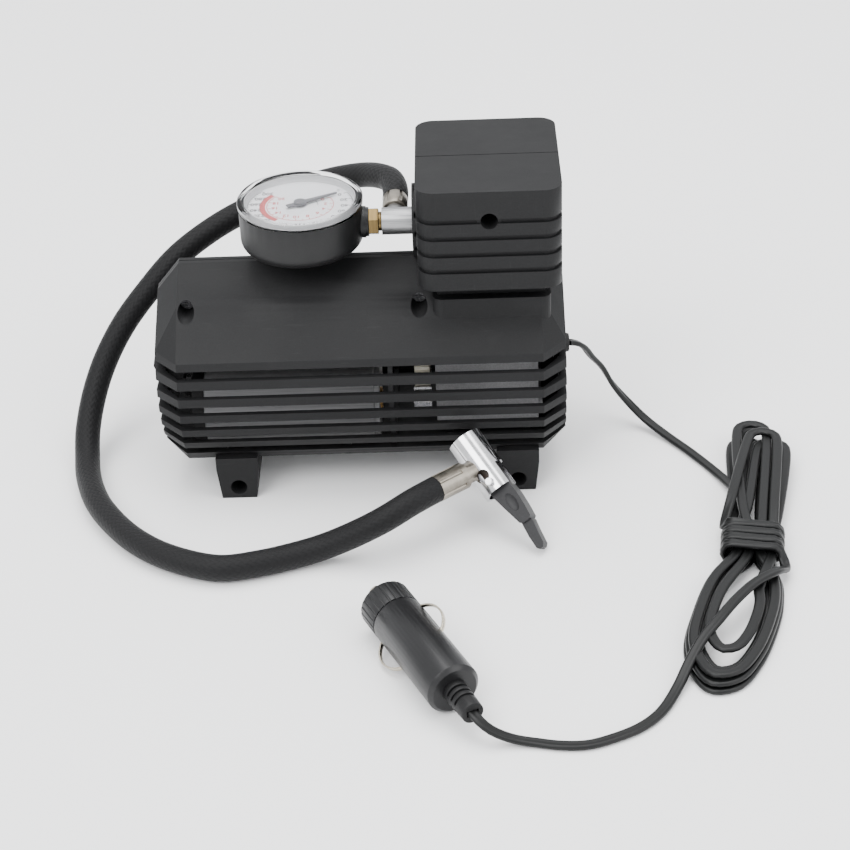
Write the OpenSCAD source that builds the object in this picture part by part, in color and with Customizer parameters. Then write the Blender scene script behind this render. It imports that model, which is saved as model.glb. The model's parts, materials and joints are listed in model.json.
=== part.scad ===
// Portable 12 V tyre inflator with dial gauge, braided air hose, thumb-lock chuck and car plug.
// Millimetres, +Z up, +X to the cord end. Origin on the ground under the middle of the casing.

/* [Casing] */
// Length of the casing between its end faces
body_l = 172; // [150:1:210]
// Radius of the rounded flanks
body_r = 45; // [42:0.5:54]
// Height of the casing's underside above the ground
base_z = 17; // [14:0.5:22]
// Height of the ridge of the casing
top_z = 95.5; // [93:0.5:98]
// Length of the bevel at each end
bevel = 10; // [4:0.5:12]
// Thickness of the casing walls
wall = 2.5; // [2:0.1:3]

/* [Vents] */
// Number of vent slots down each flank
vent_n = 6; // [3:1:6]
// Height of a slot
vent_h = 4; // [2:0.1:5]
// Distance from slot to slot
vent_pitch = 7.7; // [6.5:0.1:8]
// Upper edge of the first slot
vent_top = 65; // [60:0.5:70]

/* [Cylinder cover] */
// Length of the cover over the cylinder
cover_l = 59; // [54:1:66]
// Width of the cover, front to back
cover_w = 71; // [64:1:78]
// Height of the cover's top
cover_top = 140; // [136:0.5:148]
// Corner radius of the cover
cover_r = 7.5; // [5:0.5:12]
// Number of grooves round the cover
groove_n = 4; // [2:1:4]
// Depth of a groove
groove_d = 1.3; // [0.6:0.1:1.5]

/* [Feet and screws] */
// Width of a foot
foot_w = 18; // [14:1:22]
// Reach of a foot to the front and back
foot_reach = 38.7; // [34:0.1:41]
// Radius of the sunk screw holes
sunk_r = 3.5; // [3.2:0.1:3.8]
// Radius of a screw's shank
screw_r = 1.6; // [1.3:0.1:1.8]

/* [Motor] */
// Radius of the motor can
motor_r = 16.5; // [14:0.5:17]
// Length of the motor can
motor_l = 79; // [60:1:79]
// Radius of the motor shaft
shaft_r = 1.6; // [1.2:0.1:1.8]

/* [Drive] */
// Gear module
gear_m = 1; // [0.9:0.05:1.05]
// Teeth on the drive gear
gear_n = 40; // [36:1:42]
// Teeth on the motor pinion
pinion_n = 9; // [8:1:11]
// Width of the drive gear
gear_w = 6.5; // [4:0.5:8]
// Radius of the crankshaft
crank_r = 3; // [2.5:0.1:3.5]
// Throw of the crank, half the piston's stroke
throw = 4; // [3:0.1:4.5]
// Length of the connecting rod between centres
rod_l = 34.5; // [32:0.5:35]
// Radius of the cylinder bore
bore_r = 11; // [10:0.1:12]
// Radial clearance of running fits
run_fit = 0.06; // [0.02:0.01:0.1]

/* [Gauge] */
// Radius of the gauge's clear cap
gauge_r = 26.2; // [24:0.1:28]
// Height of the gauge with its cap
gauge_h = 22; // [20:0.5:24]
// Radius of the dial's scale
dial_r = 22; // [20:0.1:22.6]

/* [Hose] */
// Outer radius of the air hose
hose_r = 5.5; // [4:0.1:5.5]
// Outer radius of the outlet tube
tube_r = 5.7; // [5:0.1:6.5]

/* [Chuck] */
// Outer radius of the chuck
chuck_r = 7.5; // [7:0.1:8]
// Length of the chuck
chuck_l = 27; // [25:0.5:29]
// Radius of the seal's bore, for a tyre valve's thread
valve_r = 3.9; // [3.7:0.05:4.1]
// Length of the thumb lever beyond the chuck
lever_l = 30; // [24:0.5:30]

/* [Plug] */
// Radius of the plug's body
plug_r = 10.5; // [10:0.1:10.5]
// Length of the plug without its tip and strain relief
plug_l = 68.5; // [64:0.5:74]

/* [Switch and cord] */
// Width of the twin cord
cord_w = 4.4; // [3.6:0.1:5]
// Thickness of the twin cord
cord_h = 2.2; // [1.8:0.1:2.4]
// Height of the bundled cord
hank_h = 12; // [9:0.5:15]

/* [Hidden] */
$fn = 64;
gap = 0.4;

// Places of the main axes
half_l = body_l / 2;
flat_l = half_l - bevel;
flank_z = 48;
crease = [21.5, 84.7];
shoulder = [5.5, 93];
ridge_y = 2.5;
end_drop = 12;
cyl_x = 55;
gear_x = 22;
crank_z = 50;
mesh_dir = 212;
mesh_d = gear_m * (gear_n + pinion_n) / 2;
motor_y = mesh_d * cos(mesh_dir);
motor_z = crank_z + mesh_d * sin(mesh_dir);
motor_x1 = 5;
motor_x0 = motor_x1 - motor_l;
case_x0 = 31;
case_x1 = 75;
case_top = 78;
outlet_z = 111;
gauge_x = -23;
gauge_top = 123.5;
gauge_z = gauge_top - gauge_h;
dial_z = gauge_top - 4.5;
branch_x = 16;
pin_z = crank_z + throw;
wrist_z = pin_z + rod_l;
crown_z = wrist_z + 15;
head_z = 104.5;
port_x = cyl_x - 20.5;
foot_x = [-55, 65];
foot_z = 5.4;
high_screw_x = [-72, 25.3];
high_screw_z = 83;
cover_screw_z = 127;
cover_z = 96;
pad_y = 28;
pad_top = 88;
pad_round = 4;
neck_y = 23.4;
groove_h = 2;
groove_pitch = 7.4;
groove_z = 126.9;
switch_y = -10;
switch_z = 51;
gland_z = 50;

// The chuck lies across the front: the point where the hose joins it, its tilt and its turn
chuck_at = [50, -58, 25.5];
chuck_tilt = 58;
chuck_turn = 130;
chuck_mouth = 13.8;
chuck_end = chuck_mouth - chuck_l;
seal_top = chuck_mouth - 0.2;
lever_pin_z = chuck_end + 4;
lever_pin_turn = 133;
cam_low = 3;
ferrule_l = 14.7;
ferrule_y = 11.3;

// The plug lies in front of the casing
plug_at = [5.3, -122.3, plug_r];
plug_turn = -63.8;
relief_l = 14.5;
cap_end = 21.8;
leaf_x = 34;
leaf_floor = 7.9;
leaf_w = 1.8;
contact_roll = 34;

// Routes of the hose and of the cord's two loose stretches
HOSE = [[16, 20, 111], [16, 27, 112], [14, 36, 112.5], [9, 44, 111], [3, 51, 108.5],
    [-6, 57, 105], [-16, 61.5, 101], [-28, 64, 96], [-42, 63, 91.5], [-55, 59, 88],
    [-70, 52, 82], [-84, 44, 74], [-97, 36, 62], [-108, 28, 50], [-116.5, 19, 37],
    [-121.5, 9, 25.5], [-124, -3, 14.5], [-123.5, -14, 8], [-121.5, -27, 5.6],
    [-115, -47, 5.6], [-106, -63, 5.6], [-95, -77, 5.6], [-82, -88, 5.6], [-66, -96, 5.6],
    [-56, -98, 5.6], [-41, -95, 5.6], [-29.5, -91, 5.6], [-17.5, -88.3, 7.5],
    [-4.5, -88, 13], [9, -87.3, 20], [20.5, -82.4, 24.7], [30.2, -74.6, 25.5]];
CORD_LEAD = [[88.8, 0.2, 49.9], [92, 1.6, 48.6], [95.5, 4.2, 45], [99, 8, 38], [104, 12, 30], [109, 13.5, 20],
    [115, 13, 12], [123, 8, 5], [132, -2, 1.9], [141, -15, 1.3], [149, -29, 1.3],
    [154, -41, 2.4], [156.6, -52, 4]];
CORD_TAIL = [[42.4, -197.8, 10.5], [45.2, -201.4, 9], [49.6, -203.6, 6.2], [57, -204.3, 2.8], [66, -205.3, 1.4],
    [75, -207, 1.3], [84, -207, 1.3], [93, -204, 1.3], [104, -198, 1.3], [112, -190, 1.3],
    [119, -178, 1.3], [125, -166, 1.9], [131, -155.5, 4]];
hank_top = [166, -18];
hank_low = [143.5, -165];

// ---- helpers ----

// An outline in Y and Z becomes a bar along +X
module bar(x0, x1) {
    translate([x0, 0, 0]) rotate([90, 0, 90]) linear_extrude(x1 - x0) children();
}

module x_rod(r, x0, x1, y, z) {
    translate([x0, y, z]) rotate([0, 90, 0]) cylinder(r = r, h = x1 - x0);
}

module y_rod(r, y0, y1, x, z) {
    translate([x, y0, z]) rotate([-90, 0, 0]) cylinder(r = r, h = y1 - y0);
}

module z_rod(r, z0, z1, x, y) {
    translate([x, y, z0]) cylinder(r = r, h = z1 - z0);
}

module block(x0, x1, y0, y1, z0, z1) {
    translate([x0, y0, z0]) cube([x1 - x0, y1 - y0, z1 - z0]);
}

// A rectangle with round corners
module round_rect(l, w, r) {
    square([l - 2 * r, w], center = true);
    square([l, w - 2 * r], center = true);
    for (sx = [-1, 1], sy = [-1, 1]) translate([sx * (l / 2 - r), sy * (w / 2 - r)]) circle(r);
}

// A gear outline with straight-sided teeth, one of them pointing along +X
module gear_outline(m, n, slim = 0.2) {
    pitch_r = m * n / 2;
    tip_r = pitch_r + 0.8 * m;
    root_r = pitch_r - 1.15 * m;
    step = 360 / n;
    side = step * (0.25 - slim / (m * PI * 2));
    polygon([for (i = [0:n - 1]) each [
        [root_r * cos(i * step - step * 0.34), root_r * sin(i * step - step * 0.34)],
        [pitch_r * cos(i * step - side), pitch_r * sin(i * step - side)],
        [tip_r * cos(i * step - side * 0.45), tip_r * sin(i * step - side * 0.45)],
        [tip_r * cos(i * step + side * 0.45), tip_r * sin(i * step + side * 0.45)],
        [pitch_r * cos(i * step + side), pitch_r * sin(i * step + side)],
        [root_r * cos(i * step + step * 0.34), root_r * sin(i * step + step * 0.34)]]]);
}

// A tube or twin cord swept along a route, its width kept level
function unit(v) = v / norm(v);
function heading(p, i) = unit(p[min(i + 1, len(p) - 1)] - p[max(i - 1, 0)]);
function ring(p, i, a, b, n) =
    let (t = heading(p, i), s = unit(cross(t, [0, 0, 1])), u = cross(s, t))
    [for (k = [0:n - 1]) p[i] + a * cos(360 * k / n) * s + b * sin(360 * k / n) * u];
module sweep(p, a, b, n) {
    m = len(p);
    polyhedron(
        points = [for (i = [0:m - 1]) each ring(p, i, a, b, n)],
        faces = concat(
            [[for (k = [0:n - 1]) k]],
            [for (i = [0:m - 2], k = [0:n - 1])
                [i * n + k, (i + 1) * n + k, (i + 1) * n + (k + 1) % n, i * n + (k + 1) % n]],
            [[for (k = [n - 1:-1:0]) (m - 1) * n + k]]));
}

// ---- casing ----

// Half outline of the casing's cross-section, set in from the outside by a distance
function flank(r, z0, z1, steps) =
    let (a0 = asin((z0 - flank_z) / r), a1 = asin((z1 - flank_z) / r))
    [for (i = [0:steps]) let (a = a0 + (a1 - a0) * i / steps) [r * cos(a), flank_z + r * sin(a)]];
function half_outline(inset, drop, lift) =
    concat(flank(body_r - inset, base_z + lift, 68, 16),
        [crease - [inset * 0.75, drop * 0.8], [max(shoulder[0] - inset * 0.5, ridge_y + 0.3), shoulder[1] - drop],
        [ridge_y, top_z - drop]]);
function full_outline(inset, drop, lift) =
    let (h = half_outline(inset, drop, lift), n = len(h))
    concat(h, [for (i = [n - 1:-1:0]) [-h[i][0], h[i][1]]]);

module section(inset) {
    polygon(full_outline(inset, inset, inset));
}

// The casing's body with bevelled ends
module body_form(inset) {
    hull() {
        bar(-flat_l, flat_l) section(inset);
        bar(-half_l + inset, half_l - inset) polygon(full_outline(bevel + inset, end_drop + inset, 5 + inset));
    }
}

module cover_form(inset, z0, z1) {
    translate([cyl_x, 0, z0]) linear_extrude(z1 - z0)
        round_rect(cover_l - 2 * inset, cover_w - 2 * inset, cover_r - inset);
}

// The raised pad under the cover
module pad_form(inset, z0, z1) {
    translate([cyl_x + 0.5, 0, z0]) linear_extrude(z1 - z0)
        round_rect(49 - 2 * inset, 2 * (pad_y - inset), pad_round - inset / 2);
}

module feet_form() {
    for (x = foot_x)
        translate([x, foot_reach, 0]) rotate([90, 0, 0]) linear_extrude(2 * foot_reach)
            polygon([[-foot_w / 2 + 1.5, 0], [foot_w / 2 - 1.5, 0], [foot_w / 2, 14],
                [foot_w / 2, base_z + 3], [-foot_w / 2, base_z + 3], [-foot_w / 2, 14]]);
}

module vents() {
    for (i = [0:vent_n - 1]) {
        z1 = vent_top - i * vent_pitch;
        difference() {
            block(-half_l - 1, half_l + 1, -body_r - 1, body_r + 1, z1 - vent_h, z1);
            block(-half_l - 2, half_l + 2, -22, 22, z1 - vent_h - 1, z1 + 1);
        }
    }
}

module grooves() {
    for (i = [0:groove_n - 1])
        translate([cyl_x, 0, groove_z - i * groove_pitch - groove_h / 2]) linear_extrude(groove_h)
            difference() {
                square([cover_l + 2, cover_w + 2], center = true);
                round_rect(cover_l - 2 * groove_d, cover_w - 2 * groove_d, cover_r - groove_d);
            }
}

// An upright rib that holds the fins between the slots, and a web behind the slots at the cord end
module fin_ribs() {
    rib_x = 11.5;
    intersection() {
        bar(rib_x, rib_x + 2) difference() {
            section(wall - 0.3);
            section(wall + 2.3);
        }
        block(-half_l, half_l, -body_r, body_r, base_z, 70);
    }
    intersection() {
        block(case_x1 + 2, half_l - 1, 10, 12, base_z + 1, 66);
        body_form(wall / 2);
    }
}

// Saddles under the motor and under the crankcase
module saddles() {
    for (x = [motor_x0 + 12, motor_x1 - 14])
        difference() {
            block(x, x + 3, motor_y - 13, motor_y + 13, base_z + 1, motor_z - 8);
            x_rod(motor_r, x - 1, x + 4, motor_y, motor_z);
        }
    for (x = [case_x0 + 4, case_x1 - 7]) block(x, x + 3, -22, 22, base_z + 1, 24);
}

module screw_bosses() {
    intersection() {
        for (x = high_screw_x) y_rod(sunk_r + 1.6, -29, 29, x, high_screw_z);
        body_form(0.2);
    }
    y_rod(sunk_r + 1.6, -cover_w / 2 + 1, cover_w / 2 - 1, cyl_x, cover_screw_z);
}

module screw_holes() {
    for (x = high_screw_x) screw_hole(x, high_screw_z);
    for (x = foot_x) screw_hole(x, foot_z);
    screw_hole(cyl_x, cover_screw_z);
}

// A sunk hole from the front, a clear hole to the parting plane and a blind pilot behind it
module screw_hole(x, z) {
    y_rod(sunk_r, -body_r - 1, -12, x, z);
    y_rod(screw_r + 0.3, -12.5, 0.5, x, z);
    y_rod(screw_r, 0, 14, x, z);
}

// The fine line where the halves meet, on the outside only
module seam_outline(inset) {
    polygon([[-flat_l, base_z + inset], [flat_l, base_z + inset], [half_l - inset, base_z + 5],
        [half_l - inset, top_z - end_drop], [cyl_x + cover_l / 2 - inset, top_z - 10],
        [cyl_x + cover_l / 2 - inset, cover_top - inset], [cyl_x - cover_l / 2 + inset, cover_top - inset],
        [cyl_x - cover_l / 2 + inset, top_z - inset], [-flat_l, top_z - inset],
        [-half_l + inset, top_z - end_drop], [-half_l + inset, base_z + 5]]);
}

module seam_line() {
    translate([0, 0.2, 0]) rotate([90, 0, 0]) linear_extrude(0.4) difference() {
        seam_outline(-2);
        seam_outline(0.4);
    }
}

module casing() {
    difference() {
        union() {
            difference() {
                union() {
                    body_form(0);
                    cover_form(0, cover_z, cover_top);
                    pad_form(0, 74, pad_top);
                    block(cyl_x - 22, cyl_x + 23, -neck_y, neck_y, 80, cover_z + 1);
                    x_rod(15.5, cyl_x - cover_l / 2 - 2, cyl_x, 0, outlet_z);
                    feet_form();
                }
                body_form(wall);
                cover_form(wall, cover_z + wall, cover_top - wall);
                pad_form(wall, 70, pad_top - wall);
                block(cyl_x - 22 + wall, cyl_x + 23 - wall, -neck_y + wall, neck_y - wall, 70, cover_z + wall + 1);
                vents();
                grooves();
            }
            fin_ribs();
            saddles();
            screw_bosses();
        }
        screw_holes();
        seam_line();
        x_rod(tube_r + 0.4, cyl_x - cover_l, cyl_x - 15, 0, outlet_z);
        x_rod(6.2, half_l - wall - 1, half_l + 1, 0, gland_z);
        block(-half_l - 1, -half_l + wall + 1, switch_y - 6.6, switch_y + 6.6, switch_z - 9.6, switch_z + 9.6);
        for (x = foot_x) block(x - foot_w, x + foot_w, -22, 22, -1, 1.6);
    }
}

module front_casing() {
    color("#303133") intersection() {
        casing();
        block(-200, 200, -100, 0, -10, 200);
    }
}

module rear_casing() {
    color("#2e2f31") intersection() {
        casing();
        block(-200, 200, 0, 100, -10, 200);
    }
}

module casing_screw(x, z) {
    y_rod(sunk_r - gap, -14.2, -12, x, z);
    y_rod(screw_r, -12, 10, x, z);
}

module casing_screws() {
    color("#8d8f92") difference() {
        union() {
            for (x = high_screw_x) casing_screw(x, high_screw_z);
            for (x = foot_x) casing_screw(x, foot_z);
            casing_screw(cyl_x, cover_screw_z);
        }
        for (p = [for (x = high_screw_x) [x, high_screw_z], for (x = foot_x) [x, foot_z],
                [cyl_x, cover_screw_z]]) {
            block(p[0] - 2.1, p[0] + 2.1, -15, -13.2, p[1] - 0.4, p[1] + 0.4);
            block(p[0] - 0.4, p[0] + 0.4, -15, -13.2, p[1] - 2.1, p[1] + 2.1);
        }
    }
}

// ---- motor ----

module motor_can() {
    color("#9a9b9d") difference() {
        x_rod(motor_r, motor_x0 + 7, motor_x1, motor_y, motor_z);
        x_rod(motor_r - 1.2, motor_x0 + 6, motor_x1 - 1.5, motor_y, motor_z);
        x_rod(5, motor_x1 - 2, motor_x1 + 1, motor_y, motor_z);
    }
}

module motor_magnets() {
    color("#3b3b3d") translate([motor_x0 + 14, motor_y, motor_z]) rotate([90, 0, 90])
        for (a = [30, 210]) rotate([0, 0, a]) rotate_extrude(angle = 120)
            translate([motor_r - 4.7, 0]) square([3.5, motor_l - 24]);
}

module motor_armature() {
    color("#a8622c") difference() {
        union() {
            x_rod(motor_r - 5.5, motor_x0 + 20, motor_x1 - 16, motor_y, motor_z);
            x_rod(motor_r - 7.5, motor_x0 + 17, motor_x1 - 13, motor_y, motor_z);
            x_rod(5, motor_x0 + 8, motor_x0 + 17, motor_y, motor_z);
        }
        x_rod(shaft_r, motor_x0, motor_x1, motor_y, motor_z);
        for (a = [0:45:315]) translate([motor_x0 + 19, motor_y, motor_z]) rotate([a, 0, 0])
            block(0, motor_l - 34, motor_r - 9, motor_r, -0.9, 0.9);
    }
}

module motor_shaft() {
    color("#b9bbbe") x_rod(shaft_r, motor_x0 + 3, gear_x + gear_w + 1, motor_y, motor_z);
}

module motor_end_cap() {
    color("#1c1c1e") difference() {
        union() {
            x_rod(motor_r, motor_x0 + 2, motor_x0 + 7, motor_y, motor_z);
            x_rod(motor_r - 1.2, motor_x0 + 7, motor_x0 + 9, motor_y, motor_z);
            x_rod(6, motor_x0, motor_x0 + 2, motor_y, motor_z);
            for (s = [-1, 1]) block(motor_x0 - 4, motor_x0 + 3, motor_y + s * 10 - 2.4,
                motor_y + s * 10 + 2.4, motor_z - 0.4, motor_z + 0.4);
        }
        x_rod(motor_r - 3, motor_x0 + 4, motor_x0 + 10, motor_y, motor_z);
        x_rod(shaft_r + run_fit, motor_x0 + 1, motor_x0 + 10, motor_y, motor_z);
    }
}

module motor_bush() {
    color("#b08d4a") difference() {
        x_rod(5, motor_x1 - 4, motor_x1 + 3, motor_y, motor_z);
        x_rod(shaft_r + run_fit, motor_x1 - 5, motor_x1 + 4, motor_y, motor_z);
    }
}

// A steel plate on the motor's face with an arm over the gear to the crankcase
module motor_bracket() {
    color("#a7a9ac") difference() {
        union() {
            x_rod(motor_r - 1, motor_x1, motor_x1 + 2, motor_y, motor_z);
            block(motor_x1, motor_x1 + 2, motor_y + 2, 10, motor_z - 6, 77);
            block(motor_x1, case_x0 + 3, -6, 10, 74, 77);
        }
        x_rod(5, motor_x1 - 1, motor_x1 + 3, motor_y, motor_z);
        for (s = [-1, 1]) x_rod(1.3, motor_x1 - 1, motor_x1 + 3, motor_y, motor_z + s * 9);
    }
}

// ---- drive ----

module pinion() {
    color("#c9b26a") difference() {
        translate([0, motor_y, motor_z]) bar(gear_x - 0.5, gear_x + gear_w + 0.5)
            rotate(mesh_dir + 180 + 180 / pinion_n) gear_outline(gear_m, pinion_n);
        x_rod(shaft_r, gear_x - 1, gear_x + gear_w + 1, motor_y, motor_z);
    }
}

module drive_gear() {
    color("#e9e4d4") difference() {
        union() {
            translate([0, 0, crank_z]) bar(gear_x, gear_x + gear_w) rotate(mesh_dir)
                gear_outline(gear_m, gear_n);
            x_rod(7, gear_x - 1.5, gear_x + gear_w + 1, 0, crank_z);
        }
        x_rod(crank_r, gear_x - 3, gear_x + gear_w + 3, 0, crank_z);
        difference() {
            x_rod(16.5, gear_x - 2, gear_x + 1.8, 0, crank_z);
            x_rod(9, gear_x - 2, gear_x + 2, 0, crank_z);
        }
        for (a = [0:60:300]) translate([0, 0, crank_z]) rotate([a, 0, 0])
            x_rod(2.5, gear_x, gear_x + gear_w + 1, 12.8, 0);
    }
}

module crankshaft() {
    color("#b9bbbe") x_rod(crank_r, gear_x - 2, 46, 0, crank_z);
}

module crank_web() {
    color("#8f9194") difference() {
        union() {
            x_rod(7.5, 42, 46, 0, crank_z);
            translate([0, 0, crank_z]) bar(42, 46) intersection() {
                circle(14);
                translate([-14, -14]) square([28, 13]);
            }
            translate([0, 0, crank_z]) bar(42, 46) translate([-4.5, 0]) square([9, throw + 4]);
        }
        x_rod(crank_r, 41, 47, 0, crank_z);
    }
}

module crank_pin() {
    color("#c4c6c9") x_rod(2.5, 46, 60, 0, pin_z);
}

module crank_bearings() {
    color("#a9abae") for (x = [case_x0 + 0.4, case_x0 + 4.6]) difference() {
        x_rod(6.5, x, x + 3.6, 0, crank_z);
        x_rod(crank_r + run_fit, x - 1, x + 5, 0, crank_z);
    }
}

module crankcase() {
    color("#8b8d90") difference() {
        union() {
            block(case_x0, case_x1 - 3, -26, 26, 24, 74);
            block(case_x0 + 3, case_x1 - 3, -17, 17, 74, case_top);
        }
        x_rod(6.5, case_x0 - 1, case_x0 + 9, 0, crank_z);
        x_rod(19.5, case_x0 + 8.2, case_x1, 0, crank_z);
        z_rod(13, crank_z, case_top + 1, cyl_x, 0);
        for (s = [-1, 1], z = [33, 67]) x_rod(1.5, case_x1 - 13, case_x1, s * 21, z);
    }
}

module crankcase_cover() {
    color("#77797c") {
        difference() {
            block(case_x1 - 3, case_x1 - 0.6, -25, 25, 26, 73);
            for (s = [-1, 1], z = [33, 67]) x_rod(1.5, case_x1 - 4, case_x1, s * 21, z);
        }
        for (s = [-1, 1], z = [33, 67]) {
            x_rod(1.5, case_x1 - 12, case_x1 - 0.6, s * 21, z);
            x_rod(2.8, case_x1 - 0.6, case_x1 + 1.2, s * 21, z);
        }
    }
}

module connecting_rod() {
    color("#d8d8d4") difference() {
        union() {
            x_rod(5.5, 52, 58, 0, pin_z);
            x_rod(3.5, 52, 58, 0, wrist_z);
            block(53, 57, -2.2, 2.2, pin_z, wrist_z);
        }
        x_rod(2.5 + run_fit, 51, 59, 0, pin_z);
        x_rod(1.7, 51, 59, 0, wrist_z);
    }
}

module wrist_pin() {
    color("#c4c6c9") x_rod(1.7, cyl_x - 6, cyl_x + 6, 0, wrist_z);
}

// The skirt is hollow and open below, with room for the rod's small end over the whole turn
module piston() {
    color("#c8cacd") difference() {
        z_rod(bore_r - 0.1, crown_z - 24, crown_z, cyl_x, 0);
        z_rod(bore_r - 1.8, crown_z - 25, crown_z - 3, cyl_x, 0);
        translate([cyl_x, 0, crown_z - 2.6]) rotate_extrude() translate([bore_r - 1.4, 0]) square([2, 1.6]);
    }
}

module piston_seal() {
    color("#e8e4da") translate([cyl_x, 0, crown_z - 2.6]) rotate_extrude()
        translate([bore_r - 1.4, 0]) square([1.4 - run_fit, 1.6]);
}

module cylinder_barrel() {
    color("#b4b6b9") translate([cyl_x, 0, 0]) difference() {
        union() {
            z_rod(15, case_top, head_z, 0, 0);
            z_rod(13 - 0.05, case_top - 4, case_top, 0, 0);
            for (z = [case_top:5.2:head_z - 2]) z_rod(20, z, z + 1.8, 0, 0);
            z_rod(20, head_z - 2.5, head_z, 0, 0);
        }
        z_rod(bore_r, case_top - 5, head_z + 1, 0, 0);
        for (a = [45:90:315]) rotate(a) z_rod(1.5, case_top - 1, head_z + 1, 17, 0);
    }
}

module valve_plate() {
    color("#c0a060") translate([cyl_x, 0, head_z]) difference() {
        cylinder(r = 20, h = 1.5);
        for (a = [45:90:315]) rotate(a) z_rod(1.5, -1, 2, 17, 0);
        z_rod(1.6, -1, 2, 4, 0);
        z_rod(1.6, -1, 2, -4, 0);
    }
}

module reed_valve() {
    color("#d6d8da") block(cyl_x - 7, cyl_x + 3, -2.6, 2.6, head_z + 1.5, head_z + 1.8);
}

module cylinder_head() {
    color("#a5a7aa") difference() {
        union() {
            z_rod(20, head_z + 1.5, head_z + 14.5, cyl_x, 0);
            x_rod(8, port_x - 5.5, cyl_x - 12, 0, outlet_z);
        }
        z_rod(20.3, head_z - 5, head_z + 1.5, cyl_x, 0);
        z_rod(12, head_z + 1, head_z + 5, cyl_x, 0);
        x_rod(tube_r, port_x - 6, port_x, 0, outlet_z);
        x_rod(2.5, port_x - 1, cyl_x, 0, outlet_z);
        for (a = [45:90:315]) translate([cyl_x, 0, 0]) rotate(a) z_rod(1.5, head_z, head_z + 16, 17, 0);
        for (y = [-16:6.4:16]) block(cyl_x - 12, cyl_x + 21, y - 1.3, y + 1.3, head_z + 11, head_z + 16);
    }
}

module head_screws() {
    color("#8d8f92") translate([cyl_x, 0, 0]) for (a = [45:90:315]) rotate(a) {
        z_rod(1.5, case_top + 2, head_z + 14.5, 17, 0);
        z_rod(2.7, head_z + 14.5, head_z + 16.5, 17, 0);
    }
}

module outlet_tube() {
    color("#c3c5c8") difference() {
        union() {
            x_rod(tube_r, 10.7, port_x, 0, outlet_z);
            y_rod(4.5, 0, tube_r + 1.3, branch_x, outlet_z);
        }
        x_rod(2.5, 13, port_x + 1, 0, outlet_z);
        x_rod(3.2, 10, 13.2, 0, outlet_z);
        y_rod(3, 0, tube_r + 2, branch_x, outlet_z);
    }
}

// ---- gauge ----

module gauge_fitting() {
    color("#b8963e") difference() {
        union() {
            x_rod(3.2, -1, 13, 0, outlet_z);
            x_rod(4, 9.3, 10.7, 0, outlet_z);
            translate([5.2, 0, outlet_z]) rotate([0, 90, 0]) cylinder(r = 5.2 / cos(30), h = 4.1, $fn = 6);
        }
        x_rod(1.2, 0, 14, 0, outlet_z);
    }
}

module gauge_case() {
    color("#2a2b2d") difference() {
        union() {
            translate([gauge_x, 0, gauge_z]) rotate_extrude() union() {
                square([gauge_r - 5.6, 8]);
                translate([gauge_r - 5.6, 5.2]) circle(5.2);
                translate([0, 5.2]) square([gauge_r - 0.4, gauge_h - 3.6 - 5.2]);
            }
            x_rod(6.6, -2, 4, 0, outlet_z);
            x_rod(6.1, 4, 5.2, 0, outlet_z);
        }
        z_rod(gauge_r - 4.4, gauge_z + 2, gauge_top, gauge_x, 0);
        z_rod(gauge_r - 2.6, dial_z - 0.8, gauge_top, gauge_x, 0);
        x_rod(3.2, -3, 6, 0, outlet_z);
    }
}

module gauge_dial() {
    color("#e6e6e8") translate([gauge_x, 0, 0]) difference() {
        union() {
            z_rod(dial_r + 1.4, dial_z - 0.8, dial_z, 0, 0);
            z_rod(0.7, dial_z - 1, dial_z + 1.2, 15.5, 12.6);
        }
        z_rod(1.1, dial_z - 2, dial_z + 2, 0, 0);
    }
}

module gauge_lens() {
    color("#e9edf0", 0.4) translate([gauge_x, 0, gauge_top]) rotate_extrude() polygon([
        [gauge_r - 0.2, -3.6], [gauge_r, -3.2], [gauge_r, -0.6], [gauge_r - 0.7, 0],
        [gauge_r - 1.8, 0], [gauge_r - 3, -0.7], [0, -0.7], [0, -1.7], [gauge_r - 3.4, -1.7],
        [gauge_r - 3.4, -3.6]]);
}

module gauge_pointer() {
    color("#6f7178") translate([gauge_x, 0, dial_z]) rotate(30) {
        z_rod(0.9, -5, 1.2, 0, 0);
        z_rod(2.6, 0.6, 2, 0, 0);
        translate([0, 0, 0.9]) linear_extrude(0.6)
            polygon([[-6, -1.2], [-2, -1.1], [2, -1.3], [17.2, -0.4], [17.2, 0.4], [2, 1.3], [-2, 1.1], [-6, 1.2]]);
    }
}

module gauge_movement() {
    color("#b8963e") translate([gauge_x, 0, 0]) difference() {
        union() {
            block(-6, 6, -4, 4, dial_z - 5.5, dial_z - 4);
            block(-6, 6, -4, 4, dial_z - 9.5, dial_z - 8);
            for (s = [-1, 1]) block(s * 5 - 1, s * 5 + 1, -4, 4, gauge_z + 2, dial_z - 4);
        }
        z_rod(0.9 + run_fit, dial_z - 10, dial_z - 3, 0, 0);
    }
}

module bourdon_tube() {
    color("#a87c34") {
        translate([gauge_x, 0, outlet_z]) rotate(20) rotate_extrude(angle = 260)
            translate([15, 0]) circle(1.6);
        x_rod(1.8, -11.6, -1, 0, outlet_z);
        translate([gauge_x, 0, outlet_z]) rotate_extrude(angle = 22) translate([15, 0]) circle(1.6);
    }
}

// ---- hose ----

module hose_nipple() {
    color("#c3c5c8") difference() {
        union() {
            y_rod(3, 3, 18, branch_x, outlet_z);
            y_rod(4.2, tube_r + 1.3, tube_r + 2.3, branch_x, outlet_z);
        }
        y_rod(1.6, 2, 19, branch_x, outlet_z);
    }
}

module hose_ferrule() {
    color("#b7ab97") difference() {
        y_rod(5.4, tube_r + 2.3, 20, branch_x, outlet_z);
        y_rod(3, 5, 18, branch_x, outlet_z);
        for (a = [0:60:300]) translate([branch_x, 0, outlet_z]) rotate([0, a, 0])
            y_rod(0.7, 11, 21, 5.7, 0);
    }
}

module air_hose() {
    color("#1d1e20") sweep(HOSE, hose_r, hose_r, 12);
}

// ---- chuck ----

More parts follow.
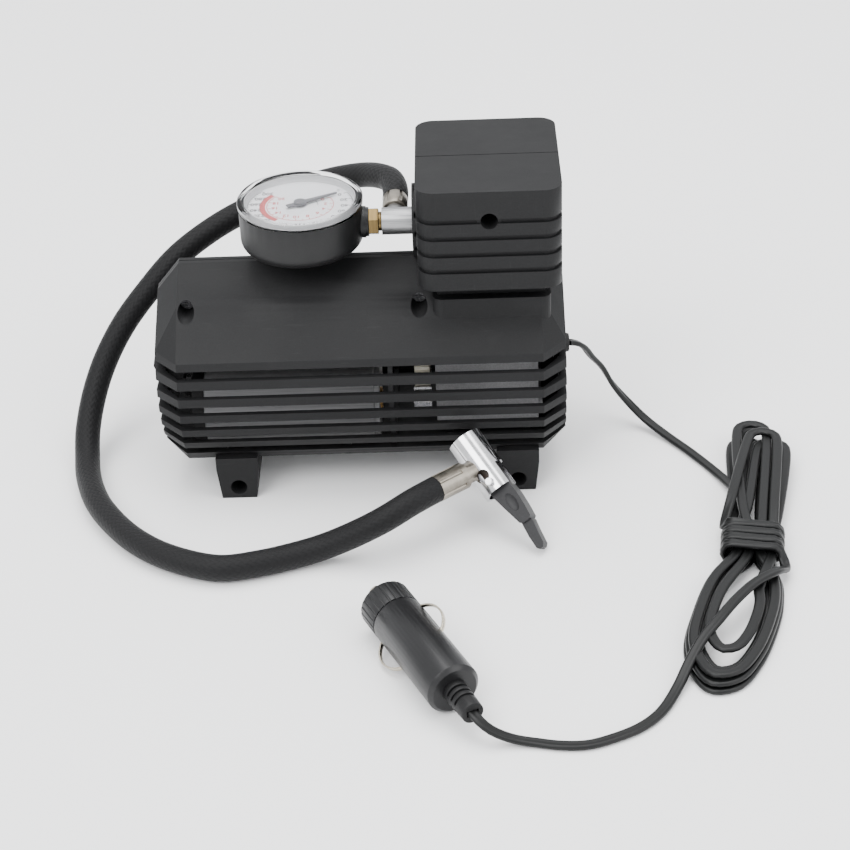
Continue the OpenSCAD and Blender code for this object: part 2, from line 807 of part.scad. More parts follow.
module at_chuck() {
    translate(chuck_at) rotate([0, chuck_tilt, chuck_turn]) children();
}

// The lever swings about this frame's Y axis, through the lever pin
module at_lever() {
    at_chuck() rotate(lever_pin_turn - 90) translate([0, 0, lever_pin_z]) children();
}

module chuck_ferrule() {
    color("#b7ab97") at_chuck() difference() {
        union() {
            y_rod(4.4, 4, ferrule_y, 0, 0);
            y_rod(5.6, ferrule_y, ferrule_y + ferrule_l, 0, 0);
        }
        z_rod(chuck_r, -10, 10, 0, 0);
        y_rod(1.6, chuck_r - 1, ferrule_y + ferrule_l - 2, 0, 0);
        for (a = [0:60:300]) rotate([0, a, 0]) y_rod(0.8, ferrule_y + 2.6, ferrule_y + ferrule_l + 1, 5.9, 0);
    }
}

module chuck_body() {
    color("#c9ccd0") at_chuck() difference() {
        translate([0, 0, chuck_end]) cylinder(r = chuck_r, h = chuck_l);
        z_rod(5.9, 6, chuck_mouth + 1, 0, 0);
        z_rod(3.2, lever_pin_z, 8, 0, 0);
        z_rod(6.2, chuck_end - 1, lever_pin_z + 6.3, 0, 0);
        y_rod(1.6, 0, chuck_r + 1, 0, 0);
        rotate(lever_pin_turn - 90) {
            y_rod(2.7, 0, chuck_r + 1, 1, lever_pin_z + 3.9);
            y_rod(1.7, -chuck_r - 1, chuck_r + 1, 0, lever_pin_z);
            block(-chuck_r - 1, 0, -4.6, 4.6, chuck_end - 1, lever_pin_z + 6.3);
        }
    }
}

module chuck_seal() {
    color("#4a3f36") at_chuck() difference() {
        z_rod(5.9, 6, seal_top, 0, 0);
        z_rod(valve_r, 5, chuck_mouth, 0, 0);
    }
}

module chuck_plunger() {
    color("#c3a55a") at_chuck() {
        z_rod(3.2 - run_fit, lever_pin_z + cam_low + gap, 3.4, 0, 0);
        z_rod(1.2, 3.4, 5.9, 0, 0);
    }
}

module lever_pin() {
    color("#d5d7da") at_lever() y_rod(1.7, -chuck_r + 0.4, chuck_r + 2.6, 0, 0);
}

// The nose is a cam: thrown over by a quarter turn, it lifts the plunger by 2.4
module chuck_lever() {
    color("#3a3b3d") at_lever() difference() {
        union() {
            lever_slice(4)
                polygon([[3.9, -4.6], [3.4, 1], [1.8, cam_low], [-2.8, cam_low], [-4.2, 2.2], [-5.4, 0.6],
                    [-5.4, -4.6], [-5.7, -9], [-5.3, -15], [-4.6, -20.6], [-3, -21.6], [0, -21.2],
                    [1, -20.4], [2.6, -12]]);
            lever_slice(2.8)
                polygon([[0.4, -19], [-3.2, -20], [-4, -22.2], [-3, -27], [-2, -lever_l - 2.8],
                    [-0.8, -lever_l - 4], [0.8, -lever_l - 4], [1.7, -lever_l - 2.8], [1.5, -27]]);
        }
        y_rod(1.7 + run_fit, -6, 6, 0, 0);
        for (s = [-1, 1]) translate([-1.6, s * 4, -11.5]) scale([1, 0.35, 2]) sphere(2.1);
    }
}

module lever_slice(w) {
    translate([0, w, 0]) rotate([90, 0, 0]) linear_extrude(2 * w) children();
}

// ---- switch ----

module switch_housing() {
    color("#1b1c1e") difference() {
        union() {
            block(-half_l - 1.8, -half_l, switch_y - 8, switch_y + 8, switch_z - 11, switch_z + 11);
            block(-half_l, -half_l + 9, switch_y - 6.5, switch_y + 6.5, switch_z - 9.5, switch_z + 9.5);
            for (z = [-5, 5]) block(-half_l + 9, -half_l + 11.8, switch_y - 2.4, switch_y + 2.4,
                switch_z + z - 0.4, switch_z + z + 0.4);
        }
        block(-half_l - 2, -half_l + 7, switch_y - 4.6, switch_y + 4.6, switch_z - 8, switch_z + 8);
        y_rod(0.9, switch_y - 5.6, switch_y + 5.6, -half_l + 1.5, switch_z);
    }
}

module rocker_button() {
    color("#252628") {
        translate([-half_l + 1.5, switch_y + 4.2, switch_z]) rotate([90, 0, 0]) linear_extrude(8.4)
            polygon([[-2.4, -7.2], [-5.2, 1.6], [-4.2, 6.6], [-1, 7.2], [1.2, 6.2], [3.4, 0], [1.2, -6.2]]);
        y_rod(0.9 - run_fit, switch_y - 5.4, switch_y + 5.4, -half_l + 1.5, switch_z);
    }
}

// ---- cord ----

module cord_gland() {
    color("#1a1a1c") difference() {
        union() {
            x_rod(6.2, half_l - wall, half_l, 0, gland_z);
            x_rod(7.4, half_l, half_l + 0.8, 0, gland_z);
            translate([half_l + 0.8, 0, gland_z]) rotate([0, 90, 0]) cylinder(r1 = 4.4, r2 = 3.8, h = 2);
            x_rod(8, half_l - wall - 1.6, half_l - wall, 0, gland_z);
        }
        translate([half_l - 6, -cord_w / 2 - 0.2, gland_z - cord_h / 2 - 0.2]) cube([9, cord_w + 0.4, cord_h + 0.4]);
    }
}

module cord_lead() {
    color("#161719") sweep(CORD_LEAD, cord_w / 2, cord_h / 2, 8);
}

module cord_tail() {
    color("#161719") sweep(CORD_TAIL, cord_w / 2, cord_h / 2, 8);
}

// The bundled cord as one solid: an outline with round ends
module cord_hank() {
    color("#1b1c1e") linear_extrude(hank_h) hull() {
        translate(hank_top) circle(12.5, $fn = 32);
        translate(hank_low) circle(19, $fn = 32);
    }
}

// ---- plug ----

// The plug's axis runs along +X from its tip
module at_plug() {
    translate(plug_at) rotate([0, 0, plug_turn]) children();
}

module plug_body() {
    color("#28292b") at_plug() difference() {
        union() {
            x_rod(plug_r, cap_end + 0.6, plug_l + 0.5, 0, 0);
            translate([plug_l + 0.5, 0, 0]) rotate([0, 90, 0]) cylinder(r1 = plug_r, r2 = plug_r - 1.6, h = 1.6);
            x_rod(6.4, cap_end - 4.4, cap_end + 1, 0, 0);
        }
        x_rod(4.2, cap_end - 5, plug_l - 8, 0, 0);
        x_rod(3, plug_l - 9, plug_l + 3, 0, 0);
        rotate([contact_roll, 0, 0]) for (s = [-1, 1])
            block(leaf_x - 10.6, leaf_x + 10.6, s * (leaf_floor + 2) - 2, s * (leaf_floor + 2) + 2,
                -leaf_w / 2 - 0.2, leaf_w / 2 + 0.2);
    }
}

module plug_cap() {
    color("#222325") at_plug() difference() {
        union() {
            translate([6.8, 0, 0]) rotate([0, 90, 0]) cylinder(r1 = 4.6, r2 = 5.6, h = 2.7);
            translate([9, 0, 0]) rotate([0, 90, 0]) cylinder(r1 = plug_r - 1.6, r2 = plug_r, h = 1.4);
            x_rod(plug_r, 10.4, cap_end, 0, 0);
        }
        x_rod(6.4, 11.5, cap_end + 1, 0, 0);
        x_rod(3.1, 2, 12, 0, 0);
        for (a = [0:15:345]) rotate([a, 0, 0]) x_rod(0.5, 9, cap_end + 1, 0, plug_r + 0.2);
    }
}

module plug_tip() {
    color("#b9b2a2") at_plug() difference() {
        union() {
            x_rod(3, 1.4, 12, 0, 0);
            intersection() {
                translate([2.8, 0, 0]) sphere(3);
                block(-1, 1.5, -4, 4, -4, 4);
            }
            x_rod(4, 11.6, 13.6, 0, 0);
        }
        x_rod(2.4, 12.6, 14, 0, 0);
    }
}

module plug_fuse() {
    color("#d8d4c8") at_plug() difference() {
        x_rod(3.2, 20, 50, 0, 0);
        difference() {
            x_rod(4, 25, 45, 0, 0);
            x_rod(3, 24, 46, 0, 0);
        }
    }
}

// Flat turns between the fuse and the tip
module plug_spring() {
    color("#9c9ea1") at_plug() for (i = [0:3]) translate([16.2 + i, 0, 0]) rotate([0, 90, 0])
        rotate_extrude() translate([3.1, 0]) circle(0.35);
}

// Two bowed leaf contacts in the sides of the body
module plug_side_contacts() {
    color("#c2b8a0") at_plug() rotate([contact_roll, 0, 0]) for (s = [-1, 1]) translate([leaf_x, s * 4.5, 0])
        rotate([0, 0, s > 0 ? 0 : 180]) translate([0, 0, -leaf_w / 2]) linear_extrude(leaf_w) intersection() {
            difference() {
                circle(10.8);
                circle(10.1);
            }
            translate([-11, leaf_floor - 4.5]) square([22, 12]);
        }
}

module plug_strain_relief() {
    color("#1a1b1d") at_plug() difference() {
        union() {
            translate([plug_l + 2.1, 0, 0]) rotate([0, 90, 0]) cylinder(r1 = 4.9, r2 = 4.3, h = relief_l);
            x_rod(3, plug_l - 7, plug_l + 3, 0, 0);
        }
        for (x = [plug_l + 4.6:2.8:plug_l + 10.5]) difference() {
            x_rod(6, x, x + 1.1, 0, 0);
            x_rod(3.7, x - 1, x + 2, 0, 0);
            block(x - 1, x + 2, -6, 6, -1, 1);
        }
        block(plug_l + 8, plug_l + relief_l + 3, -cord_w / 2 - 0.2, cord_w / 2 + 0.2,
            -cord_h / 2 - 0.2, cord_h / 2 + 0.2);
    }
}

front_casing();
rear_casing();
casing_screws();
motor_can();
motor_magnets();
motor_armature();
motor_shaft();
motor_end_cap();
motor_bush();
motor_bracket();
pinion();
drive_gear();
crankshaft();
crank_web();
crank_pin();
crank_bearings();
crankcase();
crankcase_cover();
connecting_rod();
wrist_pin();
piston();
piston_seal();
cylinder_barrel();
valve_plate();
reed_valve();
cylinder_head();
head_screws();
outlet_tube();
gauge_fitting();
gauge_case();
gauge_dial();
gauge_lens();
gauge_pointer();
gauge_movement();
bourdon_tube();
hose_nipple();
hose_ferrule();
air_hose();
chuck_ferrule();
chuck_body();
chuck_seal();
chuck_plunger();
chuck_lever();
lever_pin();
switch_housing();
rocker_button();
cord_gland();
cord_lead();
cord_hank();
cord_tail();
plug_body();
plug_cap();
plug_tip();
plug_spring();
plug_fuse();
plug_side_contacts();
plug_strain_relief();
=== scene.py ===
"""Looks of a portable 12 V tyre inflator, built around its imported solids."""

from __future__ import annotations

import json
import logging
import math
from dataclasses import dataclass, field
from enum import Enum
from typing import Iterable, Optional, Sequence

import bpy
from mathutils import Matrix, Vector

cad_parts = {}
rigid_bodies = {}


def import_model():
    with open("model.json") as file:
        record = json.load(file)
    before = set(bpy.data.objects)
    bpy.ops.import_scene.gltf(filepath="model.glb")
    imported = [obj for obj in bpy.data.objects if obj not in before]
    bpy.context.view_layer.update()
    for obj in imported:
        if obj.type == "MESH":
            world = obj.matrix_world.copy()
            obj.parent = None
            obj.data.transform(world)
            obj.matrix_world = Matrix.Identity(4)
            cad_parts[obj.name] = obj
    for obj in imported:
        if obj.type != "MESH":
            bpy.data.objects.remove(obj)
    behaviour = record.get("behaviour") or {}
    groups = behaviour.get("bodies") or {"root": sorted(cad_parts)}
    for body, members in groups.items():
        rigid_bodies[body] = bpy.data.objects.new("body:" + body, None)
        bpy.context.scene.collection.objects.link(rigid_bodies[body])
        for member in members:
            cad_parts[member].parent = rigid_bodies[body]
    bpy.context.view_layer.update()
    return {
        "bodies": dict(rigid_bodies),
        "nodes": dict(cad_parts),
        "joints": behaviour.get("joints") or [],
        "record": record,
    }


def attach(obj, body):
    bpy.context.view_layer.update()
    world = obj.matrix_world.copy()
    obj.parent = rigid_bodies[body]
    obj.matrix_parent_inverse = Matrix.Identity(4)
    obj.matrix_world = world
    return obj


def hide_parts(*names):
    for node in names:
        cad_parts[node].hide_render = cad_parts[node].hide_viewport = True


LOG = logging.getLogger("inflator")
MM = 0.001
Color = tuple[float, float, float]
Point = tuple[float, float, float]
Piece = bpy.types.Object
ShaderNode = bpy.types.Node
Tree = bpy.types.NodeTree
Socket = bpy.types.NodeSocket
UP = Vector((0.0, 0.0, 1.0))
SMOOTH_DEGREES = 40.0
COAT_ROUGHNESS = 0.12
SHEEN_ROUGHNESS = 0.5
CAP_IOR = 1.2
WHOLE = (0.0, 1.0)


# ---- small helpers ----


def mm(*values: float) -> Vector:
    """Return a point or size given in millimetres as a vector in metres."""
    return Vector(values) * MM


def deselect_all() -> None:
    """Leave edit mode and deselect every object."""
    if bpy.context.object is not None and bpy.context.object.mode != "OBJECT":
        bpy.ops.object.mode_set(mode="OBJECT")
    for item in bpy.context.selected_objects:
        item.select_set(False)


def pick(piece: Piece) -> Piece:
    """Make one object the only selected and active one.

    Args:
        piece: The object to select.

    Returns:
        The same object.
    """
    deselect_all()
    piece.select_set(True)
    bpy.context.view_layer.objects.active = piece
    return piece


def settle(piece: Piece) -> Piece:
    """Put an object's place and turn into its mesh.

    Args:
        piece: The object to settle.

    Returns:
        The same object, now at the origin.
    """
    pick(piece)
    bpy.ops.object.transform_apply(location=True, rotation=True, scale=True)
    return piece


def smooth(piece: Piece, degrees: float = SMOOTH_DEGREES) -> Piece:
    """Shade an object smooth except over edges sharper than an angle.

    Args:
        piece: The object.
        degrees: The angle.

    Returns:
        The same object.
    """
    pick(piece)
    bpy.ops.object.shade_smooth_by_angle(angle=math.radians(degrees))
    return piece


def apply_modifiers(piece: Piece) -> Piece:
    """Apply every modifier of an object, in order.

    Args:
        piece: The object.

    Returns:
        The same object.
    """
    pick(piece)
    for modifier in list(piece.modifiers):
        bpy.ops.object.modifier_apply(modifier=modifier.name)
    return piece


def join(pieces: Sequence[Piece], name: str) -> Piece:
    """Join several mesh objects into one.

    Args:
        pieces: The objects to join.
        name: The name of the joined object.

    Returns:
        The joined object.
    """
    deselect_all()
    for piece in pieces:
        piece.select_set(True)
    bpy.context.view_layer.objects.active = pieces[0]
    if len(pieces) > 1:
        bpy.ops.object.join()
    joined = bpy.context.view_layer.objects.active
    joined.name = name
    joined.data.name = name
    return joined


# ---- shader groups ----


class Graph:
    """Short ways to place and link the nodes of one tree."""

    def __init__(self, tree: Tree) -> None:
        """Start with an empty tree."""
        self.tree = tree
        tree.nodes.clear()

    def node(self, kind: str, **settings: object) -> ShaderNode:
        """Add a node.

        Args:
            kind: The node's type name.
            settings: Values of its properties.

        Returns:
            The new node.
        """
        made = self.tree.nodes.new(kind)
        for name, value in settings.items():
            setattr(made, name, value)
        return made

    def link(self, source: Socket, target: Socket) -> None:
        """Join an output to an input."""
        self.tree.links.new(source, target)

    def feed(self, target: Socket, value: object) -> None:
        """Link a socket, or set a plain value on it."""
        if isinstance(value, Socket):
            self.link(value, target)
        else:
            target.default_value = value

    def math(
        self, operation: str, first: object, second: object = 0.0, clamp: bool = False
    ) -> Socket:
        """Add a math node.

        Args:
            operation: Blender's name of the operation.
            first: A socket or a number.
            second: A socket or a number.
            clamp: Whether the result is kept within 0 and 1.

        Returns:
            The result's socket.
        """
        made = self.node("ShaderNodeMath", operation=operation, use_clamp=clamp)
        self.feed(made.inputs[0], first)
        self.feed(made.inputs[1], second)
        return made.outputs[0]

    def mix(self, factor: object, first: object, second: object) -> Socket:
        """Blend two colours by a factor.

        Args:
            factor: A socket or a number from 0 to 1.
            first: The colour at 0.
            second: The colour at 1.

        Returns:
            The result's socket.
        """
        made = self.node("ShaderNodeMix", data_type="RGBA")
        self.feed(made.inputs[0], factor)
        self.feed(made.inputs[6], first)
        self.feed(made.inputs[7], second)
        return made.outputs[2]

    def span(
        self, value: Socket, low: object, high: object, start: float = 0.0, end: float = 1.0
    ) -> Socket:
        """Map a value from one span to another, kept within it.

        Args:
            value: The value to map.
            low: What the span's start becomes.
            high: What the span's end becomes.
            start: Where the value's span starts.
            end: Where the value's span ends.

        Returns:
            The result's socket.
        """
        made = self.node("ShaderNodeMapRange", clamp=True)
        self.feed(made.inputs[0], value)
        made.inputs[1].default_value = start
        made.inputs[2].default_value = end
        self.feed(made.inputs[3], low)
        self.feed(made.inputs[4], high)
        return made.outputs[0]

    def stretched(self, vector: Socket, scale: Sequence[float]) -> Socket:
        """Scale a vector by three factors.

        Args:
            vector: The vector.
            scale: The factors.

        Returns:
            The result's socket.
        """
        made = self.node("ShaderNodeVectorMath", operation="MULTIPLY")
        self.link(vector, made.inputs[0])
        made.inputs[1].default_value = scale
        return made.outputs[0]

    def noise(self, vector: Socket, scale: object, detail: float, roughness: float) -> Socket:
        """Add a noise texture and return its value.

        Args:
            vector: Where the noise is read.
            scale: Its scale, as a socket or a number.
            detail: How many finer layers it has.
            roughness: How strong those layers are.

        Returns:
            The value's socket.
        """
        made = self.node("ShaderNodeTexNoise")
        self.link(vector, made.inputs["Vector"])
        self.feed(made.inputs["Scale"], scale)
        made.inputs["Detail"].default_value = detail
        made.inputs["Roughness"].default_value = roughness
        return made.outputs["Fac"]


class GroupGraph(Graph):
    """The tree of a shader group, with its way in and its way out."""

    def __init__(self, tree: Tree) -> None:
        """Start with the group's two end nodes."""
        super().__init__(tree)
        self.entry = self.node("NodeGroupInput")
        self.exit = self.node("NodeGroupOutput")


class Effects:
    """The shader groups that several finishes share, each built once."""

    def __init__(self) -> None:
        """Build every group."""
        self.grain = self._grain()
        self.wear = self._wear()
        self.brushed = self._brushed()
        self.braid = self._braid()

    @staticmethod
    def _new(
        name: str, inputs: Iterable[tuple[str, str, object]], outputs: Iterable[tuple[str, str]]
    ) -> GroupGraph:
        """Start a group with named sockets.

        Args:
            name: The group's name.
            inputs: Name, socket type and first value of each input.
            outputs: Name and socket type of each output.

        Returns:
            The group's graph, with its input and output nodes in place.
        """
        tree = bpy.data.node_groups.new(name, "ShaderNodeTree")
        for label, kind, value in inputs:
            socket = tree.interface.new_socket(label, in_out="INPUT", socket_type=kind)
            if value is not None:
                socket.default_value = value
        for label, kind in outputs:
            tree.interface.new_socket(label, in_out="OUTPUT", socket_type=kind)
        return GroupGraph(tree)

    def _grain(self) -> Tree:
        """Fine moulded or cast grain with slow changes of tone."""
        graph = self._new(
            "fine_grain",
            [
                ("Vector", "NodeSocketVector", None),
                ("Scale", "NodeSocketFloat", 1500.0),
                ("Dark", "NodeSocketColor", (0, 0, 0, 1)),
                ("Light", "NodeSocketColor", (1, 1, 1, 1)),
                ("Low Roughness", "NodeSocketFloat", 0.4),
                ("High Roughness", "NodeSocketFloat", 0.6),
            ],
            [
                ("Color", "NodeSocketColor"),
                ("Roughness", "NodeSocketFloat"),
                ("Height", "NodeSocketFloat"),
            ],
        )
        into, out = graph.entry.outputs, graph.exit.inputs
        cloud_scale, fine_share, cloud_share = 28.0, 0.45, 0.55
        tone_span, rough_span = (0.32, 0.68), (0.3, 0.7)
        fine = graph.noise(into["Vector"], into["Scale"], 2.0, 0.6)
        cloud = graph.noise(into["Vector"], cloud_scale, 4.0, 0.6)
        grains = graph.math("MULTIPLY", fine, fine_share)
        tone = graph.math("ADD", grains, graph.math("MULTIPLY", cloud, cloud_share))
        tone = graph.span(tone, *WHOLE, *tone_span)
        graph.link(graph.mix(tone, into["Dark"], into["Light"]), out["Color"])
        rough = graph.span(cloud, into["Low Roughness"], into["High Roughness"], *rough_span)
        graph.link(rough, out["Roughness"])
        graph.link(fine, out["Height"])
        return graph.tree

    def _wear(self) -> Tree:
        """Rubbed patches and short thin scratches, as a mask."""
        graph = self._new(
            "rubbed_wear",
            [("Vector", "NodeSocketVector", None), ("Amount", "NodeSocketFloat", 0.5)],
            [("Mask", "NodeSocketFloat")],
        )
        into, out = graph.entry.outputs, graph.exit.inputs
        patch_scale, patch_share, line_share = 45.0, 0.55, 0.6
        along_x, along_z = (60.0, 900.0, 900.0), (1000.0, 1000.0, 90.0)
        patch = graph.noise(into["Vector"], patch_scale, 5.0, 0.7)
        patch = graph.span(patch, *WHOLE, 0.56, 0.74)
        level = graph.noise(graph.stretched(into["Vector"], along_x), 1.0, 2.0, 0.5)
        upright = graph.noise(graph.stretched(into["Vector"], along_z), 1.0, 2.0, 0.5)
        level = graph.span(level, *WHOLE, 0.66, 0.72)
        upright = graph.span(upright, *WHOLE, 0.68, 0.74)
        lines = graph.math("MULTIPLY", graph.math("MAXIMUM", level, upright), line_share)
        both = graph.math("ADD", graph.math("MULTIPLY", patch, patch_share), lines)
        graph.link(graph.math("MULTIPLY", both, into["Amount"], clamp=True), out["Mask"])
        return graph.tree

    def _brushed(self) -> Tree:
        """Fine streaks along one axis, as turned or drawn metal has."""
        graph = self._new(
            "drawn_streaks",
            [
                ("Vector", "NodeSocketVector", None),
                ("Stretch", "NodeSocketVector", (40.0, 2400.0, 2400.0)),
                ("Low Roughness", "NodeSocketFloat", 0.25),
                ("High Roughness", "NodeSocketFloat", 0.4),
            ],
            [
                ("Fac", "NodeSocketFloat"),
                ("Roughness", "NodeSocketFloat"),
                ("Height", "NodeSocketFloat"),
            ],
        )
        into, out = graph.entry.outputs, graph.exit.inputs
        made = graph.node("ShaderNodeVectorMath", operation="MULTIPLY")
        graph.link(into["Vector"], made.inputs[0])
        graph.link(into["Stretch"], made.inputs[1])
        streak = graph.noise(made.outputs[0], 1.0, 3.0, 0.6)
        middle = (0.3, 0.7)
        graph.link(graph.span(streak, *WHOLE, *middle), out["Fac"])
        rough = graph.span(streak, into["Low Roughness"], into["High Roughness"], *middle)
        graph.link(rough, out["Roughness"])
        graph.link(streak, out["Height"])
        return graph.tree

    def _braid(self) -> Tree:
        """Two sets of strands crossing over and under round a hose."""
        graph = self._new(
            "crossed_braid",
            [
                ("Vector", "NodeSocketVector", None),
                ("Strands", "NodeSocketFloat", 14.0),
                ("Pitch", "NodeSocketFloat", 300.0),
            ],
            [("Thread", "NodeSocketFloat"), ("Height", "NodeSocketFloat")],
        )
        into, out = graph.entry.outputs, graph.exit.inputs
        parts = graph.node("ShaderNodeSeparateXYZ")
        graph.link(into["Vector"], parts.inputs[0])
        across = graph.math("MULTIPLY", parts.outputs[0], into["Strands"])
        along = graph.math("MULTIPLY", parts.outputs[1], into["Pitch"])
        right = graph.math("ADD", across, along)
        left = graph.math("SUBTRACT", across, along)

        def ridge(value: Socket) -> Socket:
            """Return a rounded ridge for every whole step of a value."""
            part = graph.math("FRACT", value)
            away = graph.math("ABSOLUTE", graph.math("SUBTRACT", part, 0.5))
            fall = graph.math("POWER", graph.math("MULTIPLY", away, 2.0), 2.0)
            return graph.math("SUBTRACT", 1.0, fall)

        lowered = 0.62
        over, under = graph.math("FLOOR", right), graph.math("FLOOR", left)
        turn = graph.math("MODULO", graph.math("ADD", over, under), 2.0)
        turn = graph.math("ABSOLUTE", turn)
        first = graph.math("MULTIPLY", ridge(right), graph.span(turn, 1.0, lowered))
        second = graph.math("MULTIPLY", ridge(left), graph.span(turn, lowered, 1.0))
        top = graph.math("MAXIMUM", first, second)
        graph.link(top, out["Height"])
        graph.link(graph.math("GREATER_THAN", first, second), out["Thread"])
        return graph.tree


# ---- finishes ----


class Surface(Enum):
    """How a finish is made up."""

    MOULDED = "moulded"
    DRAWN = "drawn"
    CAST = "cast"
    BRAIDED = "braided"
    CLEAR = "clear"


@dataclass(frozen=True)
class Finish:
    """One surface finish and its values.

    A moulded or cast finish has grain, a drawn one streaks, and a braided one threads. depth is
    the bump's height in metres, and worn is the colour of rubbed places, or of a braid's fibres.
    """

    name: str
    surface: Surface
    dark: Color
    light: Color
    rough: tuple[float, float] = (0.45, 0.6)
    metal: float = 0.0
    grain_scale: float = 1600.0
    depth: float = 0.00003
    wear: float = 0.0
    worn: Color = (0.2, 0.2, 0.2)
    coat: float = 0.0
    specular: float = 0.5
    stretch: tuple[float, float, float] = (40.0, 2400.0, 2400.0)
    sheen: float = 0.0

    def build(self, effects: Effects) -> bpy.types.Material:
        """Make the material.

        Args:
            effects: The shared shader groups.

        Returns:
            The finished material.
        """
        material = bpy.data.materials.new(self.name)
        material.use_nodes = True
        graph = Graph(material.node_tree)
        out = graph.node("ShaderNodeOutputMaterial")
        shader = graph.node("ShaderNodeBsdfPrincipled")
        graph.link(shader.outputs[0], out.inputs[0])
        shader.inputs["Metallic"].default_value = self.metal
        shader.inputs["Specular IOR Level"].default_value = self.specular
        shader.inputs["Coat Weight"].default_value = self.coat
        shader.inputs["Coat Roughness"].default_value = COAT_ROUGHNESS
        shader.inputs["Sheen Weight"].default_value = self.sheen
        shader.inputs["Sheen Roughness"].default_value = SHEEN_ROUGHNESS
        place = graph.node("ShaderNodeTexCoord")
        wiring = {
            Surface.CLEAR: self._clear,
            Surface.DRAWN: self._drawn,
            Surface.BRAIDED: self._braided,
        }
        wiring.get(self.surface, self._grained)(graph, shader, place, effects)
        return material

    @staticmethod
    def _group(graph: Graph, tree: Tree, values: dict[str, object]) -> ShaderNode:
        """Place a shader group and feed its inputs.

        Args:
            graph: The material's graph.
            tree: The group.
            values: A socket or a value for each named input.

        Returns:
            The placed group.
        """
        made = graph.node("ShaderNodeGroup", node_tree=tree)
        for name, value in values.items():
            graph.feed(made.inputs[name], value)
        return made

    def _bump(self, graph: Graph, shader: ShaderNode, height: Socket) -> None:
        """Feed the shader's normal from a height.

        Args:
            graph: The material's graph.
            shader: The shader.
            height: The height.
        """
        bump = graph.node("ShaderNodeBump")
        bump.inputs["Strength"].default_value = 1.0
        bump.inputs["Distance"].default_value = self.depth
        graph.link(height, bump.inputs["Height"])
        graph.link(bump.outputs[0], shader.inputs["Normal"])

    def _worn_color(self, graph: Graph, color: Socket, place: Socket, effects: Effects) -> Socket:
        """Mix the colour of rubbed places into a base colour.

        Args:
            graph: The material's graph.
            color: The base colour.
            place: Where the wear is read.
            effects: The shared shader groups.

        Returns:
            The mixed colour.
        """
        if self.wear <= 0.0:
            return color
        worn = self._group(graph, effects.wear, {"Vector": place, "Amount": self.wear})
        return graph.mix(worn.outputs["Mask"], color, (*self.worn, 1.0))

    def _grained(
        self, graph: Graph, shader: ShaderNode, place: ShaderNode, effects: Effects
    ) -> None:
        """Wire a moulded or cast finish.

        Args:
            graph: The material's graph.
            shader: The shader.
            place: The texture coordinates.
            effects: The shared shader groups.
        """
        where = place.outputs["Object"]
        grain = self._group(
            graph,
            effects.grain,
            {
                "Vector": where,
                "Scale": self.grain_scale,
                "Dark": (*self.dark, 1.0),
                "Light": (*self.light, 1.0),
                "Low Roughness": self.rough[0],
                "High Roughness": self.rough[1],
            },
        )
        color = self._worn_color(graph, grain.outputs["Color"], where, effects)
        graph.link(color, shader.inputs["Base Color"])
        graph.link(grain.outputs["Roughness"], shader.inputs["Roughness"])
        self._bump(graph, shader, grain.outputs["Height"])

    def _drawn(
        self, graph: Graph, shader: ShaderNode, place: ShaderNode, effects: Effects
    ) -> None:
        """Wire a drawn or turned metal.

        Args:
            graph: The material's graph.
            shader: The shader.
            place: The texture coordinates.
            effects: The shared shader groups.
        """
        where = place.outputs["Object"]
        streaks = self._group(
            graph,
            effects.brushed,
            {
                "Vector": where,
                "Stretch": self.stretch,
                "Low Roughness": self.rough[0],
                "High Roughness": self.rough[1],
            },
        )
        color = graph.mix(streaks.outputs["Fac"], (*self.dark, 1.0), (*self.light, 1.0))
        color = self._worn_color(graph, color, where, effects)
        graph.link(color, shader.inputs["Base Color"])
        graph.link(streaks.outputs["Roughness"], shader.inputs["Roughness"])
        self._bump(graph, shader, streaks.outputs["Height"])

    def _braided(
        self, graph: Graph, shader: ShaderNode, place: ShaderNode, effects: Effects
    ) -> None:
        """Wire a braided sleeve on the piece's own UV map, with painted shade in the weave's low
        places.

        Args:
            graph: The material's graph.
            shader: The shader.
            place: The texture coordinates.
            effects: The shared shader groups.
        """
        braid = self._group(graph, effects.braid, {"Vector": place.outputs["UV"]})
        fibre_scale, fibre_tint, fibre_height = (90.0, 2600.0, 1.0), 0.35, 0.25
        fibre = graph.noise(graph.stretched(place.outputs["UV"], fibre_scale), 1.0, 2.0, 0.6)
        # Painted shade: the colour runs from dark where strands dip between and under others to
        # lighter on their tops
        thread_with_painted_shade = graph.mix(braid.outputs["Height"], (*self.dark, 1.0), (*self.light, 1.0))
        tint = graph.span(fibre, 0.0, fibre_tint, 0.4, 0.7)
        graph.link(graph.mix(tint, thread_with_painted_shade, (*self.worn, 1.0)), shader.inputs["Base Color"])
        graph.link(graph.span(fibre, *self.rough, 0.3, 0.7), shader.inputs["Roughness"])
        fuzz = graph.math("MULTIPLY", fibre, fibre_height)
        self._bump(graph, shader, graph.math("ADD", braid.outputs["Height"], fuzz))

    def _clear(
        self, graph: Graph, shader: ShaderNode, place: ShaderNode, effects: Effects
    ) -> None:
        """Wire clear acrylic with faint marks.

        Args:
            graph: The material's graph.
            shader: The shader.
            place: The texture coordinates.
            effects: The shared shader groups.
        """
        shader.inputs["Transmission Weight"].default_value = 1.0
        shader.inputs["IOR"].default_value = CAP_IOR
        values = {"Vector": place.outputs["Object"], "Amount": self.wear}
        mask = self._group(graph, effects.wear, values).outputs["Mask"]
        color = graph.mix(mask, (*self.light, 1.0), (*self.dark, 1.0))
        graph.link(color, shader.inputs["Base Color"])
        graph.link(graph.span(mask, *self.rough), shader.inputs["Roughness"])


